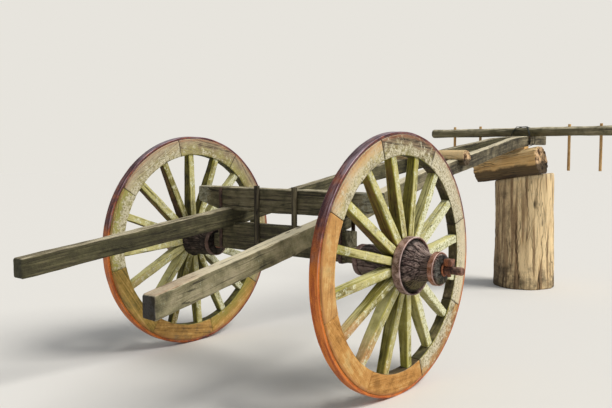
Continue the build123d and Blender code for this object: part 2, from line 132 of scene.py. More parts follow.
# Camera, from the two tyres' outlines in the photograph
CAMERA_PLACE = (-4.1635, -2.8119, 1.2384)
CAMERA_YAW = 0.7144
CAMERA_PITCH = -0.0707
CAMERA_LENS = 41.83


def hub(side):
    """Middle of the rim of the wheel on one side, on the axle's line."""
    return np.array([AXLE_X, side * WHEEL_Y, HUB_Z])


def rise(value, low, high):
    """Smooth step from 0 at low to 1 at high."""
    share = np.clip((value - low) / (high - low), 0, 1)
    return share * share * (3 - 2 * share)


def waves(points, size, seed):
    """Smooth random relief of about -1 to 1: a scaled sum of sines along seeded directions, their
    wavelengths near `size`, which may differ by axis."""
    count = 14
    rng = np.random.default_rng(seed)
    along = rng.normal(size=(count, 3))
    along *= rng.uniform(0.6, 1.7, (count, 1)) / np.linalg.norm(along, axis=1, keepdims=True)
    phase = rng.uniform(0, 2 * pi, count)
    return np.sin(points / np.asarray(size) @ along.T * 2 * pi + phase).sum(-1) / sqrt(2 * count)


def cracks(angle, place, cracked, radius, length, seed):
    """Seasoning cracks over a round timber, 0 for none to 1 for deepest: each is a bell-shaped groove along
    the grain at its own seeded angle and stretch, which wanders a little and tapers off at both ends.
    `cracked` holds their number and their width."""
    rng = np.random.default_rng(seed)
    count, width = cracked
    total = np.zeros(np.broadcast_shapes(np.shape(angle), np.shape(place)))
    for _ in range(count):
        at, middle = rng.uniform(0, 2 * pi), rng.uniform(-0.1, 1.1) * length
        reach, size = rng.uniform(0.12, 0.6) * length, rng.uniform(0.35, 1)
        drift = 0.02 * np.sin(place * rng.uniform(4, 16) / max(length, 0.5) + rng.uniform(0, 6))
        drift = drift + 0.004 * np.sin(place * rng.uniform(40, 90) + rng.uniform(0, 6))
        apart = np.angle(np.exp(1j * (angle - at))) * radius - drift
        groove = np.exp(-(apart / (width * size)) ** 2)
        total = np.maximum(total, groove * rise(reach - np.abs(place - middle), 0, 0.5 * reach) * size)
    return total


def box_outline(side_points, corner_points):
    """Outline of a box with round corners: for each point the place, -1 to 1 both ways, that it is measured
    from, and the direction in which it stands off from there by the corner radius."""
    angle = np.linspace(0, pi / 2, corner_points)
    across = np.linspace(1, -1, side_points + 2)[1:-1]
    core = np.array([np.append(np.ones(corner_points), across), np.ones(corner_points + side_points)])
    reach = np.array([np.append(np.cos(angle), 0 * across), np.append(np.sin(angle), 0 * across + 1)])
    turns = [np.linalg.matrix_power(np.array([[0, -1], [1, 0]]), k) for k in range(4)]
    return np.hstack([t @ core for t in turns]), np.hstack([t @ reach for t in turns])


# Shares of full size that the rings over a broken or a cracked end have, from the middle out
END_RINGS = (0.08, 0.2, 0.35, 0.5, 0.65, 0.8, 0.9)
STUMP_RINGS = (0.05, 0.15, 0.3, 0.45, 0.6, 0.75, 0.88)


def stations(length, step, rim, rim_share=0.93, caps=(0.12, 0.4, 0.7)):
    """Places of the rings along a piece, and the share of its full size that each ring has: both ends are
    closed by rings at one place that draw in to the middle, and their edges are worn back by `rim`."""
    body = np.linspace(rim, length - rim, max(int(length / step), 3))
    inner = np.array(caps + (rim_share,))
    place = np.concatenate([0 * inner, body, 0 * inner + length])
    return place, np.concatenate([inner, 0 * body + 1, inner[::-1]])


def timber(centre, across, up, width, height, place, share, seed, corner=0.006, warp=0.003, chips=0.008,
           outline=(9, 5)):
    """Shell of squared timbers: each ring is a box outline of width by height in the plane of `across` and
    `up`. It is moved outwards by slow waves along the grain and by ripples, and inwards where a wave chips
    its corners."""
    core, reach = box_outline(*outline)
    width, height = np.broadcast_arrays(*(np.asarray(v, float)[..., None] for v in (width, height)))
    drawn = share[:, None]
    u = (core[0] * (width / 2 - corner) + reach[0] * corner) * drawn
    v = (core[1] * (height / 2 - corner) + reach[1] * corner) * drawn
    blocks = centre.shape[:-2]
    shape = blocks + (len(place), len(core[0]))
    rng = np.random.default_rng(seed)
    offset = rng.uniform(0, 30, blocks + (1, 1, 3))
    u, v, along = (np.broadcast_to(a, shape) for a in (u, v, place[:, None]))
    grain = np.stack([along, u, v], -1) + offset
    edge = np.broadcast_to(2 * np.abs(reach[0] * reach[1]), shape)
    move = warp * waves(grain, (0.9, 0.5, 0.5), seed + 1)
    move = move + 0.35 * warp * waves(grain, (0.16, 0.03, 0.03), seed + 2)
    move = move - chips * edge * rise(waves(grain, (0.16, 0.03, 0.03), seed + 3), 0.25, 1.1)
    move = move * drawn
    across, up = (np.broadcast_to(a, centre.shape)[..., None, :] for a in (across, up))
    rings = centre[..., None, :] + (u + reach[0] * move)[..., None] * across
    rings = rings + (v + reach[1] * move)[..., None] * up
    tone = np.broadcast_to(rng.uniform(-1, 1, blocks + (1, 1)), shape)
    end = np.broadcast_to((drawn < 1) * 1.0, shape)
    over, beside = (np.broadcast_to(a, shape) * (1 - end) for a in (reach[1], reach[0]))
    return {"rings": rings, "grain": grain, "edge": edge * (1 - end), "end": end, "tone": tone,
            "over": over, "beside": beside}


def trunk(centre, across, up, radius, place, share, around, seed, cracked, deep, lobes=0.03, ripple=0.002,
          flat=None, broken=0.0):
    """Shell of a round timber: each ring is a circle in the plane of `across` and `up`, swollen by slow
    lobes and ripples and cut by seasoning cracks `deep` at most. With `flat`, what lies below that height
    is cut away. With `broken`, both ends are drawn back along the timber by about as much, where waves over
    the end's face make its rim ragged and pit its middle, and this fades out over 40 mm."""
    angle = np.linspace(0, 2 * pi, around, endpoint=False)
    cosine, sine = np.cos(angle), np.sin(angle)
    drawn = share[:, None]
    along = np.broadcast_to(place[:, None], (len(place), around))
    grain = np.stack([along, radius * cosine * drawn, radius * sine * drawn], -1)
    crack = cracks(angle[None], place[:, None], cracked, radius, place[-1], seed)
    swell = lobes * radius * waves(grain, (1.6 * radius + 0.5, 1.5 * radius, 1.5 * radius), seed + 1)
    swell = swell + ripple * waves(grain, (0.25, 0.03, 0.03), seed + 2) - deep * crack
    size = radius * drawn + swell * drawn
    u, v = size * cosine, size * sine
    if flat is not None:
        v = np.maximum(v, flat * drawn)
    across, up = (np.broadcast_to(a, centre.shape)[..., None, :] for a in (across, up))
    rings = centre[..., None, :] + u[..., None] * across + v[..., None] * up
    end = np.broadcast_to((drawn < 1) * 1.0, along.shape)
    run = (centre[-1] - centre[0]) / np.linalg.norm(centre[-1] - centre[0])
    inwards = np.where(place < place[-1] / 2, 1, -1)[:, None]
    face = np.stack([u, v, 5.0 * inwards + 0 * u], -1)
    ragged = rise(waves(face, (0.035, 0.05, 7), seed + 4), -0.4, 1.0)
    pit = rise(waves(face, (0.07, 0.05, 7), seed + 5), 0.0, 1.2) * (drawn < 0.9)
    near_end = 1 - rise(np.minimum(place, place[-1] - place), 0, 0.04)[:, None]
    rings = rings + (inwards * broken * (near_end * ragged + 0.8 * pit))[..., None] * run
    offset = np.random.default_rng(seed).uniform(0, 30, 3) * (1, 0, 0)
    return {"rings": rings, "grain": grain + offset, "end": end, "crack": crack, "pit": pit}


def rounded(points, times):
    """Outline with its corners cut `times` times, each cut a quarter of the way along both its sides."""
    points = np.asarray(points, float)
    for _ in range(times):
        near, far = points[:-1], points[1:]
        cut = np.stack([0.75 * near + 0.25 * far, 0.25 * near + 0.75 * far], 1).reshape(-1, points.shape[1])
        points = np.concatenate([points[:1], cut, points[-1:]])
    return points


def spaced(points, step):
    """Points at even steps along an outline."""
    run = np.append(0, np.cumsum(np.linalg.norm(np.diff(points, axis=0), axis=1)))
    at = np.linspace(0, run[-1], max(int(run[-1] / step), 2))
    return np.stack([np.interp(at, run, column) for column in points.T], 1)


def turned(profile, side, around, seed, relief=0.0, cracked=(0, 0.003), deep=0.0):
    """Shell of a piece turned about the axle: the profile's stations and radii are carried round in a
    circle, and its surface is moved along the profile's outward direction by waves and by cracks that run
    along the axle."""
    station, radius = np.asarray(profile, float).T
    angle = np.linspace(0, 2 * pi, around, endpoint=False)
    slope = np.gradient(np.stack([station, radius], 1), axis=0)
    slope /= np.linalg.norm(slope, axis=1, keepdims=True) + 1e-9
    out = slope @ np.array([[0, 1], [-1, 0]])
    ring = np.stack([np.cos(angle), np.sin(angle)], -1)
    crack = cracks(angle[None], station[:, None] - station.min(), cracked, 0.1, np.ptp(station), seed)
    flat = radius[:, None, None] * ring
    base = np.concatenate([np.broadcast_to(station[:, None, None], flat.shape[:2] + (1,)), flat], -1)
    move = relief * waves(base, (0.12, 0.05, 0.05), seed) - deep * crack
    station, radius = station[:, None] + out[:, :1] * move, radius[:, None] + out[:, 1:] * move
    rings = np.stack([radius * ring[:, 0], side * station, radius * ring[:, 1]], -1) + hub(side)
    return {"rings": rings, "grain": base + seed, "crack": crack, "loop": True}


def shell_faces(rings, loop):
    """Vertex numbers of a shell's quads and end fans, and of the rings that the fans close."""
    blocks, count, around = rings.shape[:3]
    index = np.arange(blocks * count * around).reshape(blocks, count, around)
    near, far = (index, np.roll(index, -1, axis=1)) if loop else (index[:, :-1], index[:, 1:])
    quads = np.stack([near, np.roll(near, -1, axis=2), np.roll(far, -1, axis=2), far], -1).reshape(-1, 4)
    if loop:
        return quads, np.zeros((0, 3), int)
    ends = index[:, (0, -1)]
    middle = index.size + np.arange(2 * blocks).reshape(blocks, 2, 1)
    fans = np.stack(np.broadcast_arrays(middle, ends, np.roll(ends, -1, axis=2)), -1).reshape(-1, 3)
    return quads, fans


# What a shell may say of its points, most of it from 0 to 1: sawn or broken end, bleaching with painted
# light, lighter or darker tone, depth in a crack, dried mud (on the stump also painted shade), lichen, moss,
# soot and dirt with painted shade, rust, and metal rubbed bare (on the tyre also a painted sheen)
MARKS = ("end", "bleach_and_light", "tone", "crack", "mud", "lichen", "moss", "dirt_and_shade", "rust", "worn")


def piece(name, body, material, nodes, shells):
    """One object made of closed shells, riding on a body and standing for some of the model's nodes. Each
    shell's marks become vertex attributes, and so does how far its surface faces up."""
    points, quads, fans, values = [], [], [], {mark: [] for mark in MARKS + ("grain",)}
    for shell in shells:
        rings = shell["rings"].reshape(-1, *shell["rings"].shape[-3:])
        loop = shell.get("loop", False)
        new_quads, new_fans = shell_faces(rings, loop)
        base = sum(len(p) for p in points)
        ends = [] if loop else [rings[:, (0, -1)].mean(axis=2).reshape(-1, 3)]
        points += [np.concatenate([rings.reshape(-1, 3)] + ends)]
        quads.append(new_quads + base)
        fans.append(new_fans + base)
        for mark in MARKS + ("grain",):
            wide = (3,) if mark == "grain" else ()
            value = np.broadcast_to(shell.get(mark, 0.0), shell["rings"].shape[:-1] + wide)
            value = value.reshape(rings.shape[:-1] + wide)
            tips = [] if loop else [value[:, (0, -1)].mean(axis=2).reshape(-1, *wide)]
            values[mark].append(np.concatenate([value.reshape(-1, *wide)] + tips))
    points, quads, fans = (np.concatenate(part) for part in (points, quads, fans))
    mesh = bpy.data.meshes.new(name)
    mesh.vertices.add(len(points))
    mesh.vertices.foreach_set("co", points.astype(np.float32).ravel())
    mesh.loops.add(quads.size + fans.size)
    mesh.loops.foreach_set("vertex_index", np.append(quads.ravel(), fans.ravel()).astype(np.int32))
    mesh.polygons.add(len(quads) + len(fans))
    starts = np.append(np.arange(len(quads)) * 4, quads.size + np.arange(len(fans)) * 3)
    mesh.polygons.foreach_set("loop_start", starts.astype(np.int32))
    mesh.update(calc_edges=True)
    solid = bmesh.new()
    solid.from_mesh(mesh)
    bmesh.ops.recalc_face_normals(solid, faces=solid.faces)
    solid.to_mesh(mesh)
    solid.free()
    mesh.shade_smooth()
    for mark in MARKS:
        attribute = mesh.attributes.new(mark, "FLOAT", "POINT")
        attribute.data.foreach_set("value", np.concatenate(values[mark]).astype(np.float32))
    attribute = mesh.attributes.new("grain", "FLOAT_VECTOR", "POINT")
    attribute.data.foreach_set("vector", np.concatenate(values["grain"]).astype(np.float32).ravel())
    normals = np.zeros(3 * len(points), np.float32)
    mesh.vertices.foreach_get("normal", normals)
    attribute = mesh.attributes.new("up", "FLOAT", "POINT")
    attribute.data.foreach_set("value", normals[2::3].copy())
    mesh.materials.append(material)
    made = bpy.data.objects.new(name, mesh)
    bpy.context.scene.collection.objects.link(made)
    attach(made, body)
    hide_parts(*nodes)


def paint(text):
    """Scene colour of an sRGB hex value."""
    channels = [int(text[i:i + 2], 16) / 255 for i in (1, 3, 5)]
    return [c / 12.92 if c <= 0.04045 else ((c + 0.055) / 1.055) ** 2.4 for c in channels] + [1.0]


def add(tree, kind, inputs=(), wanted=0, **settings):
    """Add a node with its settings, fill its inputs from sockets or with values, and give one of its
    outputs."""
    made = tree.nodes.new("ShaderNode" + kind)
    for key, value in settings.items():
        setattr(made, key, value)
    for key, value in dict(inputs).items():
        if isinstance(value, bpy.types.NodeSocket):
            tree.links.new(value, made.inputs[key])
        else:
            made.inputs[key].default_value = value
    return made.outputs[wanted] if made.outputs else made


# Settings that many nodes share. A MapRange takes 0: value, 1 and 2: from, 4: the most it gives. A Mix of
# colours takes 0: share, 6 and 7: the colours.
SMOOTH = {"interpolation_type": "SMOOTHSTEP"}
COLOURS = {"wanted": 2, "data_type": "RGBA"}


def finished(name, build):
    """Material whose surface shader gets the inputs that `build` works out in its tree."""
    material = bpy.data.materials.new(name)
    material.use_nodes = True
    tree = material.node_tree
    tree.nodes.clear()
    add(tree, "OutputMaterial", {"Surface": add(tree, "BsdfPrincipled", build(tree))})
    return material


def patterns(tree, table):
    """Noises by name, from rows of name, coordinates, cells per metre along each axis, detail, roughness."""
    made = {}
    for name, where, per_metre, detail, roughness in table:
        scaled = add(tree, "VectorMath", {0: where, 1: per_metre}, operation="MULTIPLY")
        made[name] = add(tree, "TexNoise", {"Vector": scaled, "Scale": 1.0, "Detail": detail,
                                            "Roughness": roughness}, "Fac")
    return made


def weighted(tree, terms, shift=0.0):
    """Sum of patterns, each times its weight, and a shift."""
    for value, weight in terms:
        shift = add(tree, "Math", {0: value, 1: weight, 2: shift}, operation="MULTIPLY_ADD")
    return shift


def layered(tree, colour, layers):
    """Colour under layers of growth, dirt or wear. Rows hold a vertex mark, the pattern that breaks its edge,
    the edge's softness, the layer's strength and its colour. A mark of 0 gives none, 1 covers all: the layer
    starts where 0.6 of the mark and the pattern come to 0.8."""
    for name, pattern, soft, strength, tint in layers:
        amount = add(tree, "Attribute", wanted="Fac", attribute_name=name)
        level = add(tree, "Math", {0: amount, 1: 0.6, 2: pattern}, operation="MULTIPLY_ADD")
        share = add(tree, "MapRange", {0: level, 1: 0.8 - soft, 2: 0.8 + soft, 4: strength}, **SMOOTH)
        colour = add(tree, "Mix", {0: share, 6: colour, 7: tint}, **COLOURS)
    return colour


def shaded(tree, value, stops):
    """Colour that changes with a value: rows of value and colour, the first from below."""
    colour = paint(stops[0][1])
    for (low, _), (high, tint) in zip(stops, stops[1:]):
        share = add(tree, "MapRange", {0: value, 1: low, 2: high}, **SMOOTH)
        colour = add(tree, "Mix", {0: share, 6: colour, 7: paint(tint)}, **COLOURS)
    return colour


def weathered_wood(name, dark, mid, light, silver, silvered, end, moss, lichen, mud, checks=0.8,
                   lines=(1.2, 26, 0.010)):
    """Old open-grained timber. Streaks and fibres follow the grain, faces to the sky are bleached silver,
    undersides get painted shade, thin checks open along the grain, the cracks are painted dark by their depth
    as shade, and moss, lichen, mud and soot lie in patches. Bleaching also paints light where its mark says
    so, and the dark layer of dirt and soot also paints shade."""
    def build(tree):
        grain = add(tree, "Attribute", wanted="Vector", attribute_name="grain")
        place = add(tree, "TexCoord", wanted="Object")
        up, bleach_and_light, tone, ended, crack, crusted, caked = (
            add(tree, "Attribute", wanted="Fac", attribute_name=key)
            for key in ("up", "bleach_and_light", "tone", "end", "crack", "lichen", "mud"))
        along, across, thin = lines
        # Streaks of growth rings are 450 by 14 mm. Bundles of fibres, 62 by 4 mm, stand for pores of 0.3 mm,
        # which are too fine to show. Patches where the weather got in are 420 by 90 mm, and checks run on
        # for 830 mm, 38 mm apart, broken every 330 mm. Lichen has flakes of 10 mm in crusts of 38 mm, and
        # damp, soot and painted shade lie in clouds of 100 mm.
        has = patterns(tree, [
            ("streaks", grain, (2.2, 70, 70), 8, 0.70), ("fibres", grain, (16, 260, 260), 3, 0.6),
            ("patches", grain, (2.4, 11, 11), 5, 0.6), ("lines", grain, (along, across, across), 2, 0.5),
            ("broken", grain, (3, 18, 18), 2, 0.5), ("flakes", place, (95, 95, 95), 6, 0.7),
            ("crusts", place, (26, 26, 26), 9, 0.78), ("clouds", place, (10, 10, 10), 6, 0.65)])

        # Bare wood: brown inside, silver where sun and rain reach it and painted lighter where the bleaching
        # mark paints light, with painted shade below, and dark at the ends
        value = weighted(tree, [(has["streaks"], 0.5), (has["fibres"], 0.15), (has["patches"], 0.35),
                                (tone, 0.04)])
        colour = shaded(tree, value, [(0.40, dark), (0.49, mid), (0.60, light)])
        pale_silver = shaded(tree, value, [(0.38, mid), (0.50, silver)])
        sky = add(tree, "MapRange", {0: up, 1: 0.3, 2: 0.85, 4: silvered}, **SMOOTH)
        exposed = weighted(tree, [(sky, 1.0), (bleach_and_light, 1.0), (has["clouds"], 0.7), (has["crusts"], 0.5)],
                           -0.6)
        exposed = add(tree, "MapRange", {0: exposed, 1: 0.2, 2: 0.8}, **SMOOTH)
        colour = add(tree, "Mix", {0: exposed, 6: colour, 7: pale_silver}, **COLOURS)
        # Painted shade: faces that look down are darkened towards the dark wood colour
        under = add(tree, "MapRange", {0: up, 1: -0.3, 2: -0.9, 4: 0.6}, **SMOOTH)
        colour = add(tree, "Mix", {0: under, 6: colour, 7: paint(dark)}, **COLOURS)
        end_value = weighted(tree, [(has["broken"], 0.6), (has["flakes"], 0.4)])
        end_grain = shaded(tree, end_value, [(0.40, dark), (0.55, end)])
        colour = add(tree, "Mix", {0: ended, 6: colour, 7: end_grain}, **COLOURS)

        # What has settled on it, then dark specks between flakes of lichen, and soot and dirt, whose layer
        # also paints shade
        mixed = weighted(tree, [(has["clouds"], 0.4), (has["streaks"], 0.3), (has["crusts"], 0.3)])
        muddy = shaded(tree, mixed, [(0.42, mud[0]), (0.50, mud[1]), (0.58, mud[2])])
        crust = shaded(tree, has["flakes"], [(0.42, lichen[0]), (0.54, lichen[1])])
        colour = layered(tree, colour, [("moss", mixed, 0.14, 0.8, paint(moss)),
                                        ("mud", mixed, 0.20, 0.9, muddy),
                                        ("rust", mixed, 0.15, 0.75, paint("#96583a")),
                                        ("lichen", has["crusts"], 0.06, 0.85, crust)])
        speck = add(tree, "MapRange", {0: has["flakes"], 1: 0.43, 2: 0.35, 4: 0.75}, **SMOOTH)
        speck = add(tree, "Math", {0: speck, 1: crusted}, operation="MULTIPLY")
        colour = add(tree, "Mix", {0: speck, 6: colour, 7: paint(dark)}, **COLOURS)
        colour = layered(tree, colour, [("dirt_and_shade", has["clouds"], 0.2, 0.85, paint("#1b1712"))])

        # Checks: thin dark lines where a long pattern passes its middle, less of them under mud, and painted
        # shade in the cracks, darker the deeper they are
        near_line = add(tree, "Math", {0: has["lines"], 1: 0.5, 2: thin}, operation="COMPARE")
        kept = add(tree, "MapRange", {0: has["broken"], 1: 0.46, 2: 0.56, 4: checks}, **SMOOTH)
        bare = add(tree, "Math", {0: caked, 1: -0.9, 2: 1.0}, operation="MULTIPLY_ADD")
        check = add(tree, "Math", {0: near_line, 1: kept}, operation="MULTIPLY")
        check = add(tree, "Math", {0: check, 1: bare}, operation="MULTIPLY")
        checks_and_crack_shade = add(tree, "Math", {0: check, 1: crack}, operation="MAXIMUM")
        cut = weighted(tree, [(checks_and_crack_shade, 0.85)])
        colour = add(tree, "Mix", {0: cut, 6: colour, 7: paint("#17120e")}, **COLOURS)
        height = weighted(tree, [(has["streaks"], 0.9), (has["fibres"], 0.4), (has["flakes"], 0.4),
                                 (check, -0.8)])
        return {"Base Color": colour, "Roughness": weighted(tree, [(has["streaks"], 0.2)], 0.72),
                "Specular IOR Level": 0.3,
                "Normal": add(tree, "Bump", {"Height": height, "Strength": 1.0, "Distance": 0.006})}
    return finished(name, build)


def rusted_iron(name, dark, mid, pale, rust, worn, metallic=0.3, rough=0.45, mottle=(30, 30, 30)):
    """Old forged iron: a dark skin mottled by a finer scale, orange rust that blooms in patches, bare rubbed
    metal on edges, whose pale colour also serves the tyre's painted sheen, and a dark layer of dirt that also
    paints shade."""
    def build(tree):
        grain = add(tree, "Attribute", wanted="Vector", attribute_name="grain")
        place = add(tree, "TexCoord", wanted="Object")
        # Hammered skin varies over 33 mm, and rust blooms over 83 mm. Its scale is drawn at 5 mm, because
        # the real pits of 1 mm are too fine to show.
        has = patterns(tree, [("mottle", grain, mottle, 7, 0.68), ("scale", place, (210, 210, 210), 3, 0.6),
                              ("blooms", place, (12, 12, 12), 6, 0.65)])
        value = weighted(tree, [(has["mottle"], 0.7), (has["scale"], 0.3)])
        colour = shaded(tree, value, [(0.40, dark), (0.50, mid), (0.60, pale)])
        rusty = shaded(tree, value, [(0.42, rust[0]), (0.56, rust[1])])
        colour = layered(tree, colour, [("rust", has["blooms"], 0.25, 0.92, rusty),
                                        ("worn", has["mottle"], 0.18, 0.75, paint(worn)),
                                        ("mud", has["blooms"], 0.30, 0.80, paint("#e08a48")),
                                        ("dirt_and_shade", has["blooms"], 0.25, 0.85, paint(dark))])
        height = weighted(tree, [(has["mottle"], 0.7), (has["scale"], 0.35)])
        return {"Base Color": colour, "Metallic": metallic,
                "Roughness": weighted(tree, [(has["scale"], 0.3)], rough),
                "Normal": add(tree, "Bump", {"Height": height, "Strength": 0.8, "Distance": 0.0025})}
    return finished(name, build)


# Hewn hardwood that was never painted: the weather has made it grey-brown, with bleached tops
SHAFT_WOOD = weathered_wood(
    "weathered_grey_hardwood", dark="#332d22", mid="#70674f", light="#a0957a", silver="#d6cbac", silvered=0.9,
    end="#45423f", moss="#6f6c48", lichen=("#8a8873", "#b9b8a4"), mud=("#6d4434", "#8d6450", "#a88468"))
# Planed hardwood that holds damp: olive sides with yellow-green moss, cream outer faces speckled by lichen,
# bleached and painted lighter as lit
SPOKE_WOOD = weathered_wood(
    "mossy_spoke_hardwood", dark="#3f3a16", mid="#7c7430", light="#aea352", silver="#dbd494", silvered=0.5,
    end="#6c6650", moss="#a8a236", lichen=("#a9a873", "#e2e2c6"), mud=("#98683a", "#c09264", "#d8bd94"),
    checks=0.7, lines=(1.2, 26, 0.007))
# Sawn hardwood planks: grey-brown with whitish lichen above, tan with dried mud below
FELLOE_WOOD = weathered_wood(
    "lichened_felloe_hardwood", dark="#42372b", mid="#8a775e", light="#b5a180", silver="#dacdac",
    silvered=0.4, end="#6c6650", moss="#98953f", lichen=("#9a906e", "#d8d0b6"),
    mud=("#9a6a2c", "#c28b46", "#d8ae6c"), checks=0.5, lines=(1.2, 26, 0.006))
# Turned heartwood soaked with grease: dark and oily, with short wide checks 18 mm apart
NAVE_WOOD = weathered_wood(
    "dark_cracked_nave_wood", dark="#171012", mid="#453431", light="#958178", silver="#b5a49a", silvered=0.45,
    end="#625f58", moss="#6a6236", lichen=("#6f6a5a", "#9a9584"), mud=("#4a3826", "#6a5436", "#7f6a48"),
    checks=0.9, lines=(5, 55, 0.030))
# Round timber with its bark off: golden brown and smooth, with painted shade below
RAW_LOG = weathered_wood(
    "peeled_log_wood", dark="#4a3118", mid="#ac7d44", light="#dcb274", silver="#e4c692", silvered=0.4,
    end="#dcb88c", moss="#8a7a40", lichen=("#b9a478", "#d9cba6"), mud=("#8f6636", "#b98a50", "#cfa878"))
# Stump dried in the sun: pale buff ribs between brown stripes, with long open checks
STUMP_WOOD = weathered_wood(
    "dry_cracked_stump_wood", dark="#6a4e30", mid="#c6a474", light="#efd3a2", silver="#f0d9ae", silvered=0.4,
    end="#c8a67a", moss="#8a7a50", lichen=("#b9a478", "#ead9b4"), mud=("#6d5740", "#957a5a", "#b2956e"),
    checks=0.9, lines=(1.6, 24, 0.012))
# Forged iron that was never painted: brown-black skin, orange rust in patches
DARK_IRON = rusted_iron("rusted_forged_iron", dark="#241a1a", mid="#5b4237", pale="#876a5c",
                        rust=("#8a4320", "#c4703a"), worn="#9a8579")
# Tyre iron rolled smooth by the road: red-brown with a painted dull sheen above in its pale lilac worn
# colour, fresh orange rust below, and streaks 140 mm long round the rim
TYRE_IRON = rusted_iron("worn_tyre_iron", dark="#3a2227", mid="#643a3a", pale="#84605c",
                        rust=("#ac5012", "#de7e26"), worn="#a79ba6", metallic=0.35, rough=0.30,
                        mottle=(7, 45, 45))
# Hoop iron under thin old rust: dusty pinkish brown, paler on its rubbed lip
BAND_IRON = rusted_iron("pinkish_band_iron", dark="#55403a", mid="#8f736b", pale="#b69e97",
                        rust=("#7a4a2c", "#a8693e"), worn="#cbb4b0")
# Annealed tie wire: near black, with a faint green cast and next to no rust
BLACK_WIRE = rusted_iron("black_tie_wire", dark="#0d0f0d", mid="#1f231f", pale="#343a33",
                         rust=("#3a2a20", "#5a4030"), worn="#3a3f38")


def shaft(side):
    """Shell of one shaft: squared timber whose section stands upright at each station along the cart, with
    its place and size drawn between the stations of the table."""
    start_at = SHAFT_STATIONS[0, 0] + LEFT_SHORT * (side > 0)
    place, share = stations(SHAFT_STATIONS[-1, 0] - start_at, step=0.014, rim=0.007, rim_share=0.9)
    at = start_at + place
    y, top, height, width = (np.interp(at, SHAFT_STATIONS[:, 0], column) for column in SHAFT_STATIONS.T[1:])
    centre = np.stack([AXLE_X + at, side * y, top - height / 2], -1)
    made = timber(centre, Y, Z, width, height, place, share, seed=11 + side, chips=0.007)
    top, facing = np.clip(made["over"], 0, 1), np.clip(side * made["beside"], 0, 1)
    if side > 0:
        # The far shaft gets painted shade: a darker tone, and dark patches that are strongest on its sides
        return made | {"tone": -2.4, "moss": 0.50 - 0.3 * top, "dirt_and_shade": 0.42 - 0.3 * top, "lichen": 0.12}
    rear, front = 1 - rise(at, -1.35, -0.75)[:, None], rise(at, 0.6, 1.6)[:, None]
    low_edge = made["edge"] * (made["over"] < 0)
    return made | {"tone": 2.2 - 2.4 * front, "bleach_and_light": (0.35 - 0.2 * rear) * top + 0.5 * front * low_edge,
                   "dirt_and_shade": 0.13 + 0.20 * facing * (1 - low_edge) + 0.18 * front * facing,
                   "moss": 0.12 + 0.42 * facing * (1 - front), "lichen": 0.25, "rust": 0.15 * front,
                   "mud": 0.50 * rear * top}


def bolster():
    """Shell of the bolster: squared timber whose underside rises towards both ends."""
    half, full = BOLSTER_HALF[1], 2 * BOLSTER_HALF[2]
    place, share = stations(2 * half, step=0.012, rim=0.008, rim_share=0.92)
    at = place - half
    height = np.interp(np.abs(at), [half - BOLSTER_TAPER, half], [full, BOLSTER_TIP_H])
    top = BOLSTER_MIDDLE[2] + BOLSTER_HALF[2]
    centre = np.stack([0 * at + AXLE_X, at, top - height / 2], -1)
    made = timber(centre, X, Z, BEAM_W, height, place, share, seed=21, corner=0.008)
    tip = rise(np.abs(made["rings"][..., 1]), half - BOLSTER_TAPER, half - 0.05)
    # Painted shade: the bolster is darker in tone and in patches, less so towards its lichened tips
    return made | {"tone": 1.6 * tip - 1.2, "moss": 0.42, "dirt_and_shade": 0.36 - 0.1 * tip,
                   "lichen": 0.10 + 0.45 * tip}


def axle_beam():
    """Shell of the axle beam: squared timber, lower and narrower where its stubs reach into the wheels."""
    half, full = BEAM_HALF[1], 2 * BEAM_HALF[2]
    place, share = stations(2 * half, step=0.010, rim=0.006, rim_share=0.92)
    at, shoulder = np.abs(place - half), [STUB_AT, STUB_AT + SHOULDER]
    height = np.interp(at, shoulder, [full, STUB_H])
    width = np.interp(at, shoulder, [BEAM_W, STUB_W])
    low = BEAM_MIDDLE[2] - BEAM_HALF[2]
    centre = np.stack([0 * at + AXLE_X, place - half, low + height / 2], -1)
    made = timber(centre, X, Z, width, height, place, share, seed=31, corner=0.007)
    # Painted shade: the beam is darker in tone and in patches all over
    return made | {"tone": -1.4, "moss": 0.45 + 0.3 * np.clip(made["edge"], 0, 1), "dirt_and_shade": 0.42}


def pole(node, radius, step, around, seed, **relief):
    """Shell of a round pole or log that lies across the cart along its node's box."""
    middle, half = middle_and_half(node)
    place, share = stations(2 * half[1], step, rim=0.006, rim_share=0.96, caps=END_RINGS)
    centre = np.stack([0 * place + middle[0], middle[1] - half[1] + place, 0 * place + middle[2]], -1)
    return trunk(centre, X, Z, radius, place, share, around, seed, **relief)


def cross_bar():
    """Shell of the cross bar: a peeled pole with broken ends and painted shade on its underside."""
    made = pole("cross_bar", CROSS_BAR_R, step=0.010, around=120, seed=121, cracked=(14, 0.004), deep=0.007,
                broken=0.008)
    below = rise(middle_and_half("cross_bar")[0][2] - made["rings"][..., 2], -0.01, 0.03)
    return made | {"dirt_and_shade": 0.18 + 0.8 * below, "tone": 1.0, "bleach_and_light": 0.8, "lichen": 0.35}


def yoke_pole():
    """Shell of the yoke pole: a hewn pole with few and shallow cracks."""
    made = pole("yoke_pole", YOKE_R, step=0.014, around=64, seed=122, lobes=0.04, cracked=(10, 0.003),
                deep=0.004)
    return made | {"moss": 0.45, "dirt_and_shade": 0.25}


